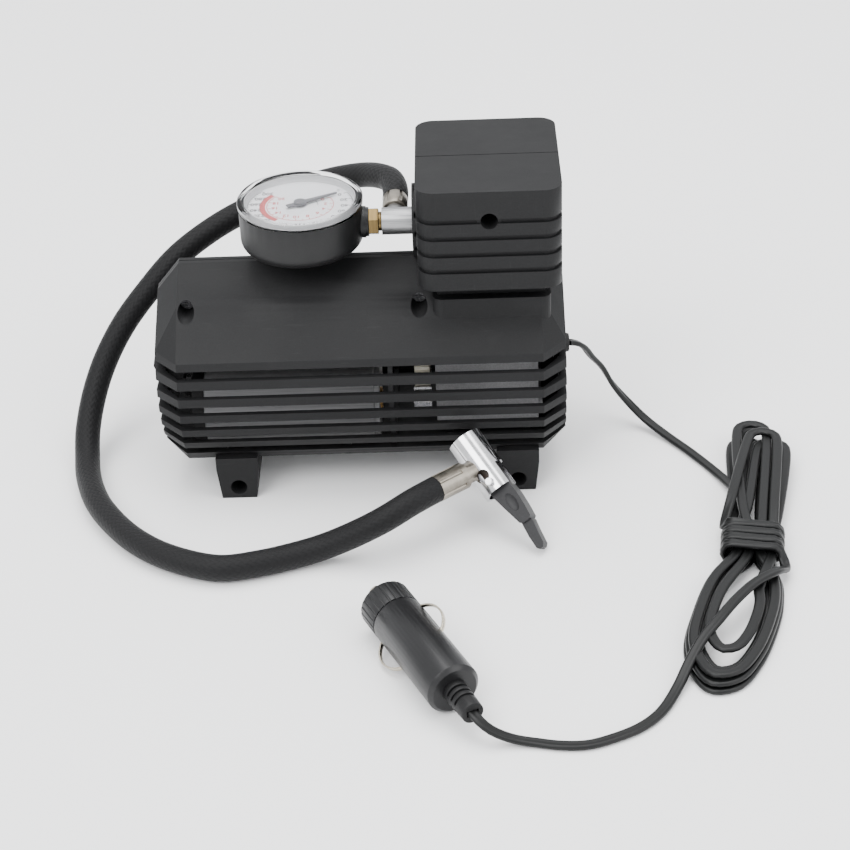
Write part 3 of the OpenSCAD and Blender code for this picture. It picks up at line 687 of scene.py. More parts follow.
@dataclass
class Wardrobe:
    """Every finish of the object, and the CAD nodes that wear it."""

    effects: Effects = field(default_factory=Effects)
    made: dict[str, bpy.types.Material] = field(default_factory=dict)

    # Name, surface, dark and light colour, the span of roughness, and then what is special
    FINISHES = (
        Finish("casing_plastic", Surface.MOULDED, (0.006, 0.0061, 0.0064),
               (0.0105, 0.0106, 0.0112), (0.5, 0.66), grain_scale=1900.0, depth=0.00003,
               wear=0.16, worn=(0.035, 0.035, 0.036), specular=0.2),
        Finish("screw_steel", Surface.DRAWN, (0.12, 0.12, 0.125), (0.3, 0.3, 0.31), (0.3, 0.45),
               metal=1.0, depth=0.00001, stretch=(900.0, 60.0, 900.0)),
        Finish("motor_steel", Surface.DRAWN, (0.17, 0.17, 0.175), (0.25, 0.25, 0.255),
               (0.5, 0.62), metal=0.25, depth=0.00001),
        Finish("ferrite", Surface.CAST, (0.03, 0.03, 0.032), (0.07, 0.07, 0.075), (0.6, 0.8),
               depth=0.00005),
        Finish("winding", Surface.DRAWN, (0.32, 0.1, 0.03), (0.6, 0.22, 0.08), (0.25, 0.4),
               metal=0.6, stretch=(120.0, 1800.0, 1800.0)),
        Finish("shaft_steel", Surface.DRAWN, (0.5, 0.5, 0.52), (0.68, 0.68, 0.7), (0.16, 0.28),
               metal=1.0, depth=0.000006),
        Finish("black_plastic", Surface.MOULDED, (0.005, 0.005, 0.0053), (0.009, 0.009, 0.0095),
               (0.4, 0.55), specular=0.25),
        Finish("rocker_plastic", Surface.MOULDED, (0.007, 0.007, 0.0074), (0.011, 0.011, 0.0115),
               (0.28, 0.4), depth=0.00001, specular=0.3),
        Finish("bush_bronze", Surface.CAST, (0.34, 0.2, 0.08), (0.55, 0.36, 0.16), (0.35, 0.5),
               metal=1.0),
        Finish("bracket_steel", Surface.DRAWN, (0.2, 0.2, 0.205), (0.3, 0.3, 0.305), (0.45, 0.6),
               metal=0.5),
        Finish("brass", Surface.DRAWN, (0.11, 0.075, 0.032), (0.2, 0.14, 0.06), (0.25, 0.4),
               metal=1.0, depth=0.000008, stretch=(600.0, 60.0, 60.0), wear=0.2,
               worn=(0.08, 0.055, 0.03)),
        Finish("nylon", Surface.MOULDED, (0.62, 0.59, 0.5), (0.76, 0.73, 0.64), (0.4, 0.55),
               wear=0.25, worn=(0.3, 0.27, 0.2)),
        Finish("cast_iron", Surface.CAST, (0.16, 0.16, 0.17), (0.32, 0.32, 0.33), (0.5, 0.7),
               metal=1.0, grain_scale=1100.0, depth=0.00009),
        Finish("cast_alloy", Surface.CAST, (0.16, 0.16, 0.165), (0.26, 0.26, 0.265), (0.5, 0.66),
               metal=0.4, grain_scale=1300.0, depth=0.00008),
        Finish("rod_alloy", Surface.CAST, (0.5, 0.5, 0.5), (0.66, 0.66, 0.66), (0.3, 0.42),
               metal=1.0),
        Finish("seal_ptfe", Surface.MOULDED, (0.62, 0.6, 0.54), (0.74, 0.72, 0.66), (0.4, 0.5)),
        Finish("tube_alloy", Surface.DRAWN, (0.26, 0.26, 0.265), (0.4, 0.4, 0.405), (0.34, 0.48),
               metal=1.0, depth=0.00001, wear=0.2, worn=(0.16, 0.155, 0.15)),
        Finish("gauge_plastic", Surface.MOULDED, (0.006, 0.006, 0.0063), (0.0095, 0.0095, 0.0099),
               (0.36, 0.5), depth=0.00001, specular=0.3),
        Finish("dial_white", Surface.MOULDED, (0.72, 0.72, 0.74), (0.8, 0.8, 0.82), (0.45, 0.6),
               depth=0.000004),
        Finish("lens_clear", Surface.CLEAR, (0.85, 0.86, 0.87), (0.99, 0.993, 0.995),
               (0.02, 0.12), wear=0.2),
        Finish("pointer_grey", Surface.MOULDED, (0.075, 0.075, 0.085), (0.11, 0.11, 0.12),
               (0.35, 0.45)),
        Finish("bourdon_bronze", Surface.DRAWN, (0.38, 0.24, 0.09), (0.56, 0.36, 0.15),
               (0.25, 0.36), metal=1.0),
        Finish("ferrule_nickel", Surface.DRAWN, (0.26, 0.235, 0.2), (0.36, 0.33, 0.28),
               (0.3, 0.4), metal=1.0, depth=0.000004, stretch=(300.0, 300.0, 300.0), wear=0.1,
               worn=(0.15, 0.13, 0.1)),
        # The braid's dark and light colours are painted shade, dark low in the weave and lighter
        # on the strands' tops
        Finish("hose_braid", Surface.BRAIDED, (0.001, 0.001, 0.0012), (0.0042, 0.0042, 0.0046),
               (0.5, 0.68), depth=0.00014, worn=(0.012, 0.012, 0.013), specular=0.18, sheen=0.04),
        Finish("chuck_chrome", Surface.DRAWN, (0.62, 0.62, 0.63), (0.72, 0.72, 0.73), (0.1, 0.17),
               metal=1.0, depth=0.000002, stretch=(300.0, 300.0, 300.0), wear=0.08,
               worn=(0.4, 0.4, 0.41)),
        Finish("seal_rubber", Surface.MOULDED, (0.03, 0.02, 0.015), (0.07, 0.05, 0.038),
               (0.5, 0.65)),
        Finish("lever_plastic", Surface.MOULDED, (0.013, 0.013, 0.014), (0.022, 0.022, 0.0235),
               (0.4, 0.52), depth=0.00002, wear=0.2, worn=(0.05, 0.05, 0.052), specular=0.25),
        Finish("cord_rubber", Surface.MOULDED, (0.005, 0.005, 0.0053), (0.009, 0.009, 0.0095),
               (0.45, 0.6), specular=0.25),
        Finish("cord_vinyl", Surface.MOULDED, (0.0028, 0.003, 0.003), (0.005, 0.0054, 0.0054),
               (0.36, 0.5), grain_scale=900.0, depth=0.00002, specular=0.28),
        Finish("plug_plastic", Surface.MOULDED, (0.0058, 0.0058, 0.0063), (0.009, 0.009, 0.0097),
               (0.28, 0.4), depth=0.000008, wear=0.08, worn=(0.03, 0.03, 0.032), specular=0.35),
        Finish("contact_nickel", Surface.DRAWN, (0.5, 0.45, 0.36), (0.7, 0.65, 0.55),
               (0.18, 0.32), metal=1.0),
        Finish("spring_steel", Surface.DRAWN, (0.4, 0.4, 0.42), (0.6, 0.6, 0.62), (0.2, 0.3),
               metal=1.0),
        Finish("fuse_glass", Surface.DRAWN, (0.55, 0.53, 0.48), (0.76, 0.75, 0.7), (0.15, 0.25),
               metal=0.5),
        Finish("print_dark", Surface.MOULDED, (0.03, 0.03, 0.035), (0.045, 0.045, 0.05),
               (0.5, 0.6)),
        Finish("print_red", Surface.MOULDED, (0.5, 0.02, 0.02), (0.58, 0.035, 0.03), (0.5, 0.6)),
        Finish("print_pink", Surface.MOULDED, (0.5, 0.06, 0.065), (0.56, 0.09, 0.09), (0.5, 0.6)),
        Finish("bezel_grey", Surface.MOULDED, (0.55, 0.55, 0.56), (0.64, 0.64, 0.65),
               (0.35, 0.5)),
    )

    def __post_init__(self) -> None:
        """Build every material."""
        for finish in self.FINISHES:
            self.made[finish.name] = finish.build(self.effects)

    def wear(self, piece: Piece, finish: str) -> None:
        """Give a piece one finish all over.

        Args:
            piece: The piece.
            finish: The finish's name.
        """
        material = self.made[finish]
        if not piece.material_slots:
            piece.data.materials.append(material)
        for slot in piece.material_slots:
            slot.material = material

    def dress_nodes(self, frame: dict) -> None:
        """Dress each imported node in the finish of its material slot.
        """
        for subpart in frame["record"]["subparts"]:
            self.wear(frame["nodes"][subpart["node"]], subpart["material_slot"])


# ---- camera, light and floor ----


@dataclass
class Studio:
    """The camera, the pale floor and the soft lights."""

    eye: Vector = field(default_factory=lambda: mm(44.63, -785.76, 502.7))
    tilt: float = 32.09
    roll: float = 2.46
    yaw: float = -1.43
    lens: float = 88.6
    sensor: float = 36.0
    floor_size: float = 6.0
    floor_drop: float = 0.0002
    floor_grey: float = 0.93
    room_color: Color = (0.97, 0.98, 1.0)
    room_light: float = 1.5
    lamp_aim: Point = (0.03, 0.0, 0.04)
    # Name, place, watts and width of each lamp
    lamps: tuple[tuple[str, Point, float, float], ...] = (
        ("key", (-0.9, -1.1, 1.6), 34.0, 1.2),
        ("fill", (1.3, -0.8, 1.1), 14.0, 1.2),
        ("top", (0.1, 0.3, 1.9), 40.0, 1.6),
    )

    def build(self) -> None:
        """Make everything but the object."""
        self._camera()
        self._floor()
        self._lights()
        LOG.info("studio ready")

    def _camera(self) -> None:
        """Place the camera from its tilt, yaw and roll."""
        tilt, yaw, roll = (math.radians(a) for a in (self.tilt, self.yaw, self.roll))
        level = math.cos(tilt)
        ahead = Vector((math.sin(yaw) * level, math.cos(yaw) * level, -math.sin(tilt)))
        right = Vector((math.cos(yaw), -math.sin(yaw), 0.0))
        down = ahead.cross(right)
        across = right * math.cos(roll) + down * math.sin(roll)
        below = down * math.cos(roll) - right * math.sin(roll)
        data = bpy.data.cameras.new("camera")
        data.lens, data.sensor_width = self.lens, self.sensor
        camera = bpy.data.objects.new("camera", data)
        bpy.context.scene.collection.objects.link(camera)
        turn = Matrix((across, -below, -ahead)).transposed().to_4x4()
        camera.matrix_world = Matrix.Translation(self.eye) @ turn
        bpy.context.scene.camera = camera

    def _floor(self) -> None:
        """Lay a large pale floor at the height of the feet."""
        deselect_all()
        below = (0.0, 0.0, -self.floor_drop)
        bpy.ops.mesh.primitive_plane_add(size=self.floor_size, location=below)
        floor = settle(bpy.context.object)
        floor.name = "floor"
        material = bpy.data.materials.new("floor_paper")
        material.use_nodes = True
        shader = material.node_tree.nodes["Principled BSDF"]
        shader.inputs["Base Color"].default_value = (*[self.floor_grey] * 3, 1.0)
        shader.inputs["Roughness"].default_value = 0.9
        shader.inputs["Specular IOR Level"].default_value = 0.1
        floor.data.materials.append(material)

    def _lights(self) -> None:
        """Hang soft lamps round the object and light the room evenly."""
        world = bpy.data.worlds.new("room")
        world.use_nodes = True
        background = world.node_tree.nodes["Background"]
        background.inputs["Color"].default_value = (*self.room_color, 1.0)
        background.inputs["Strength"].default_value = self.room_light
        bpy.context.scene.world = world
        for name, place, power, size in self.lamps:
            data = bpy.data.lights.new(name, "AREA")
            data.energy, data.size = power, size
            lamp = bpy.data.objects.new(name, data)
            bpy.context.scene.collection.objects.link(lamp)
            lamp.location = place
            ray = Vector(self.lamp_aim) - Vector(place)
            lamp.rotation_euler = ray.to_track_quat("-Z", "Y").to_euler()


# ---- cords ----


@dataclass
class Knot:
    """A point of a route, with the direction of the cord's width there if it isn't level."""

    place: Vector
    side: Optional[Vector] = None


@dataclass
class Route:
    """A smooth line through knots, with even steps."""

    knots: list[Knot]
    step: float = 2.5 * MM
    fine: int = 14
    reach: int = 4
    steep: float = 0.15
    line: list[Vector] = field(default_factory=list)
    sides: list[Vector] = field(default_factory=list)

    def __post_init__(self) -> None:
        """Trace the line and the width direction at each of its points."""
        dense: list[Vector] = []
        hints: list[Optional[Vector]] = []
        count = len(self.knots)
        for i in range(count - 1):
            run = [self.knots[min(max(i + k, 0), count - 1)] for k in (-1, 0, 1, 2)]
            for k in range(self.fine):
                part = k / self.fine
                dense.append(self._between([knot.place for knot in run], part))
                hints.append(self._hint(run[1], run[2], part))
        dense.append(self.knots[-1].place.copy())
        hints.append(self.knots[-1].side)
        self._space(dense, hints)

    @staticmethod
    def _hint(first: Knot, second: Knot, part: float) -> Optional[Vector]:
        """Return the nearer knot's width direction."""
        return first.side if part < 0.5 else second.side

    @staticmethod
    def _between(p: Sequence[Vector], part: float) -> Vector:
        """Return a point on the centripetal curve between the middle two of four points.

        Args:
            p: The four points.
            part: How far from the second to the third.

        Returns:
            The point.
        """
        times = [0.0]
        for a, b in zip(p, p[1:]):
            times.append(times[-1] + max((b - a).length, 1e-6) ** 0.5)
        t = times[1] + (times[2] - times[1]) * part

        def blend(a: Vector, b: Vector, ta: float, tb: float) -> Vector:
            """Return the point at t on the line through two timed points."""
            return a * ((tb - t) / (tb - ta)) + b * ((t - ta) / (tb - ta))

        first = [blend(p[i], p[i + 1], times[i], times[i + 1]) for i in range(3)]
        second = [blend(first[i], first[i + 1], times[i], times[i + 2]) for i in range(2)]
        return blend(second[0], second[1], times[1], times[2])

    def _space(self, dense: list[Vector], hints: list[Optional[Vector]]) -> None:
        """Step along the dense line evenly and settle the width direction.

        Args:
            dense: Closely set points of the curve.
            hints: The wanted width direction at each of them, if any.
        """
        gaps = [(b - a).length for a, b in zip(dense, dense[1:])]
        total = sum(gaps)
        pieces = max(2, round(total / self.step))
        wanted, walked, index = [total * k / pieces for k in range(pieces + 1)], 0.0, 0
        raw: list[Optional[Vector]] = []
        for goal in wanted:
            while index < len(gaps) - 1 and walked + gaps[index] < goal:
                walked += gaps[index]
                index += 1
            part = min(1.0, (goal - walked) / max(gaps[index], 1e-9))
            self.line.append(dense[index].lerp(dense[index + 1], part))
            raw.append(hints[index])
        self._level(raw)

    def heading(self, i: int) -> Vector:
        """Return the unit direction of the line at a point."""
        return (self.line[min(i + 1, len(self.line) - 1)] - self.line[max(i - 1, 0)]).normalized()

    def _level(self, raw: list[Optional[Vector]]) -> None:
        """Carry the width direction along the line without sudden turns.

        Args:
            raw: The wanted width direction at each point, if any.
        """
        found: list[Vector] = []
        for i, hint in enumerate(raw):
            ahead = self.heading(i)
            side = hint if hint is not None else ahead.cross(UP)
            if side.length < self.steep and found:
                side = found[-1]
            side = (side - ahead * side.dot(ahead)).normalized()
            if found and side.dot(found[-1]) < 0:
                side = -side
            found.append(side)
        for i in range(len(found)):
            total = Vector((0.0, 0.0, 0.0))
            for k in range(max(0, i - self.reach), min(len(found), i + self.reach + 1)):
                total += found[k]
            ahead = self.heading(i)
            total -= ahead * total.dot(ahead)
            self.sides.append(total.normalized())

    @property
    def length(self) -> float:
        """The line's length."""
        return sum((b - a).length for a, b in zip(self.line, self.line[1:]))

    def sweep(self, name: str, outline: Sequence[tuple[float, float]]) -> Piece:
        """Sweep an outline along the line.

        Args:
            name: The piece's name.
            outline: Points across the line: along its width and across it.

        Returns:
            The swept mesh, with U round it and V the metres along it.
        """
        verts: list[Vector] = []
        for i, place in enumerate(self.line):
            side = self.sides[i]
            rise = side.cross(self.heading(i))
            verts.extend(place + side * a + rise * b for a, b in outline)
        n = len(outline)
        rings = len(self.line)
        faces: list[tuple[int, ...]] = []
        marks: list[tuple[float, float]] = []
        gap = self.length / (rings - 1)
        for i in range(rings - 1):
            for k in range(n):
                j = (k + 1) % n
                faces.append((i * n + k, i * n + j, (i + 1) * n + j, (i + 1) * n + k))
                left, right, low, high = k / n, (k + 1) / n, i * gap, (i + 1) * gap
                marks.extend(((left, low), (right, low), (right, high), (left, high)))
        faces.append(tuple(range(n - 1, -1, -1)))
        faces.append(tuple((rings - 1) * n + k for k in range(n)))
        marks.extend((k / n, 0.0) for k in range(n - 1, -1, -1))
        marks.extend((k / n, self.length) for k in range(n))
        mesh = bpy.data.meshes.new(name)
        mesh.from_pydata([tuple(v) for v in verts], [], faces)
        layer = mesh.uv_layers.new(name="UVMap")
        for spot, mark in zip(layer.data, marks):
            spot.uv = mark
        mesh.update()
        piece = bpy.data.objects.new(name, mesh)
        bpy.context.scene.collection.objects.link(piece)
        pick(piece)
        bpy.ops.object.mode_set(mode="EDIT")
        bpy.ops.mesh.select_all(action="SELECT")
        bpy.ops.mesh.normals_make_consistent(inside=False)
        bpy.ops.object.mode_set(mode="OBJECT")
        return smooth(piece, 50.0)


@dataclass
class AirHose:
    """The braided hose from the cylinder's outlet to the chuck."""

    radius: float = 5.5 * MM
    sides: int = 28
    step: float = 2.2 * MM
    chuck: tuple[str, ...] = (
        "chuck_ferrule", "chuck_body", "chuck_seal", "chuck_plunger", "chuck_lever", "lever_pin",
    )
    route: tuple[Point, ...] = (
        (16, 20, 111), (16, 27, 112), (14, 36, 112.5), (9, 44, 111), (3, 51, 108.5),
        (-6, 57, 105), (-16, 61.5, 101), (-28, 64, 96), (-42, 63, 91.5), (-55, 59, 88),
        (-70, 52, 82), (-84, 44, 74), (-97, 36, 62), (-108, 28, 50), (-116.5, 19, 37),
        (-121.5, 9, 25.5), (-124, -3, 14.5), (-123.5, -14, 8), (-121.5, -27, 5.6),
        (-115, -47, 5.6), (-106, -63, 5.6), (-95, -77, 5.6), (-82, -88, 5.6), (-66, -96, 5.6),
        (-56, -98, 5.6), (-41, -95, 5.6), (-29.5, -91, 5.6), (-17.5, -88.3, 7.5),
        (-4.5, -88, 13), (9, -87.3, 20), (20.5, -82.4, 24.7), (30.2, -74.6, 25.5),
    )

    def build(self, wardrobe: Wardrobe) -> Piece:
        """Make the hose.

        Args:
            wardrobe: The finishes.

        Returns:
            The hose.
        """
        route = Route([Knot(mm(*p)) for p in self.route], step=self.step)
        turns = [math.tau * k / self.sides for k in range(self.sides)]
        outline = [(self.radius * math.cos(a), self.radius * math.sin(a)) for a in turns]
        hose = route.sweep("braided_hose", outline)
        wardrobe.wear(hose, "hose_braid")
        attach(hose, "housing")
        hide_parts("air_hose")
        round(route.length, 3)
        LOG.info("hose %.3f m long", route.length)
        return hose


@dataclass
class PowerCord:
    """The twin cord: from the casing to the bundle, its loops and wrap, and on to the plug."""

    width: float = 4.4 * MM
    height: float = 2.2 * MM
    plug: tuple[str, ...] = (
        "plug_body", "plug_cap", "plug_tip", "plug_spring", "plug_fuse", "plug_side_contacts",
        "plug_strain_relief",
    )
    lead: tuple[Point, ...] = (
        (88.8, 0.2, 49.9), (92, 1.6, 48.6), (95.5, 4.2, 45), (99, 8, 38), (104, 12, 30),
        (109, 13.5, 20), (115, 13, 12), (123, 8, 5), (132, -2, 1.9), (141, -15, 1.3),
        (149, -29, 1.3), (154, -41, 2.4), (156.6, -52, 4),
    )
    tail: tuple[Point, ...] = (
        (42.4, -197.8, 10.5), (45.2, -201.4, 9), (49.6, -203.6, 6.2), (57, -204.3, 2.8),
        (66, -205.3, 1.4), (75, -207, 1.3), (84, -207, 1.3), (93, -204, 1.3), (104, -198, 1.3),
        (112, -190, 1.3), (119, -178, 2.4), (125, -166, 5.6), (131, -155.5, 8.0),
    )
    waist: tuple[float, float] = (159.0, -92.0)
    along: tuple[float, float] = (0.151, 0.988)
    # The lower end of the widest turn, along and across, and the point the others shrink to
    loop: tuple[tuple[float, float], ...] = (
        (-21.0, -16.0), (-45.0, -21.3), (-65.0, -23.3), (-79.0, -20.6), (-89.0, -13.6),
        (-86.0, -4.6), (-71.0, 3.2), (-46.0, 9.0), (-32.0, 10.2), (-19.0, 9.2),
    )
    heart: tuple[float, float] = (-50.0, -6.5)
    # Each turn: top, its middle, half width and height, then the lower end's share and height
    turns: tuple[tuple[float, float, float, float, float, float], ...] = (
        (84.5, -5.2, 6.4, 1.4, 1.0, 1.3),
        (80.5, 3.8, 6.2, 3.6, 0.88, 1.6),
        (88.0, -1.0, 6.2, 5.6, 0.96, 3.7),
        (75.0, 5.6, 6.0, 7.6, 0.79, 4.0),
        (86.0, -3.2, 6.2, 9.4, 0.9, 6.0),
        (78.0, 1.6, 6.0, 11.0, 0.56, 7.6),
    )
    columns: tuple[tuple[float, float], ...] = (
        (-6.9, 2.3), (-2.3, 6.9), (-7.1, 2.1), (-2.5, 6.7), (-6.7, 2.5), (-2.1, 7.1),
    )
    rows: tuple[float, ...] = (1.4, 1.4, 3.8, 3.8, 6.2, 6.2)
    # Along, across and up: from the lead into the first turn, and from the last turn to the wrap
    into_turns: Point = (24.0, -8.9, 3.2)
    into_wrap: Point = (27.0, -10.4, 9.8)
    waist_half: float = 6.0
    wrap_turns: int = 4
    wrap_half: float = 11.8
    wrap_middle: float = -0.9
    wrap_start: float = 10.0
    wrap_pitch: float = 5.0
    wrap_base: float = 1.2
    wrap_top: float = 9.6
    # One turn of the wrap: across, as a share of its half width, and up, as a share of its height
    wrap_round: tuple[tuple[float, float], ...] = (
        (-1.0, 0.62), (-0.86, 0.97), (-0.35, 1.0), (0.35, 1.0), (0.86, 0.97), (1.0, 0.62),
        (1.0, 0.28), (0.86, 0.02), (0.35, 0.0), (-0.35, 0.0), (-0.86, 0.02), (-1.0, 0.28),
    )
    out_of_wrap: tuple[Point, ...] = (
        (-12.0, 12.6, 3.8), (-21.0, 9.2, 8.4), (-32.0, 1.0, 10.4), (-45.0, -6.6, 10.6),
        (-57.0, -12.6, 9.8),
    )

    def at(self, s: float, t: float, z: float) -> Vector:
        """Return the point at s along the bundle, t across it and z up, all in millimetres."""
        (x, y), (ux, uy) = self.waist, self.along
        return mm(x + s * ux + t * uy, y + s * uy - t * ux, z)

    def _turn(self, i: int) -> list[Knot]:
        """Return the knots of one turn, from the left of the waist round both ends.

        Args:
            i: Which turn it is.

        Returns:
            Its knots.
        """
        top, top_mid, top_half, top_z, share, end_z = self.turns[i]
        left, right = self.columns[i]
        row = self.rows[i]
        half, rise_at, fall_at = self.waist_half, 24.0, 26.0
        places = [(half, left, row), (-half, left, row)]
        mid_s, mid_t = self.heart
        for s, t in self.loop:
            places.append((mid_s + (s - mid_s) * share, mid_t + (t - mid_t) * share, end_z))
        places += [(-half, right, row), (half, right, row)]
        places.append((rise_at, (right + top_mid + top_half) / 2, (row + top_z) / 2))
        for degrees in range(0, 181, 36):
            a = math.radians(degrees)
            rise = top - top_half * (1 - math.sin(a))
            places.append((rise, top_mid + top_half * math.cos(a), top_z))
        following = min(i + 1, len(self.columns) - 1)
        low = (self.rows[following] + top_z) / 2
        places.append((fall_at, (self.columns[following][0] + top_mid - top_half) / 2, low))
        return [Knot(self.at(*place)) for place in places]

    def _wrap(self) -> list[Knot]:
        """Return the knots of the turns that bind the bundle's waist."""
        width_way = (self.at(1.0, 0.0, 0.0) - self.at(0.0, 0.0, 0.0)).normalized()
        knots: list[Knot] = []
        count = len(self.wrap_round)
        tall = self.wrap_top - self.wrap_base
        for k in range(self.wrap_turns * count - count // 2):
            across, up = self.wrap_round[k % count]
            s = self.wrap_start - self.wrap_pitch * k / count
            t = self.wrap_middle + across * self.wrap_half
            knots.append(Knot(self.at(s, t, self.wrap_base + up * tall), width_way))
        return knots

    def _outline(self) -> list[tuple[float, float]]:
        """Return the figure of two round cores side by side."""
        r = self.height / 2
        half = self.width / 2 - r
        points: list[tuple[float, float]] = []
        for core, first in ((half, -120), (-half, 60)):
            for degrees in range(first, first + 241, 30):
                a = math.radians(degrees)
                points.append((core + r * math.cos(a), r * math.sin(a)))
        return points

    def _knots(self) -> list[Knot]:
        """Return the knots of the whole cord, from the casing to the plug."""
        knots = [Knot(mm(*p)) for p in self.lead]
        knots.append(Knot(self.at(*self.into_turns)))
        for i in range(len(self.turns)):
            knots.extend(self._turn(i))
        # The last turn goes on to the wrap instead of to a further turn
        knots[-1] = Knot(self.at(*self.into_wrap))
        knots.extend(self._wrap())
        knots.extend(Knot(self.at(*p)) for p in self.out_of_wrap)
        knots.extend(Knot(mm(*p)) for p in reversed(self.tail))
        return knots

    def build(self, wardrobe: Wardrobe) -> Piece:
        """Make the whole cord as one sweep.

        Args:
            wardrobe: The finishes.

        Returns:
            The cord.
        """
        route = Route(self._knots())
        cord = route.sweep("twin_cord", self._outline())
        wardrobe.wear(cord, "cord_vinyl")
        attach(cord, "housing")
        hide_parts("cord_lead", "cord_hank", "cord_tail")
        round(route.length, 2)
        LOG.info("cord %.3f m long", route.length)
        return cord


# ---- the gauge's print and trim ----


@dataclass(frozen=True)
class Scale:
    """One printed scale: its steps, and its radii and widths in millimetres.

    numbers holds a radius and a height, each kind of mark an inner and an outer radius and a
    width, and line an inner and an outer radius.
    """

    top: int
    step: int
    small_step: int
    numbers: tuple[float, float]
    marks: Point
    small_marks: Point
    line: tuple[float, float]


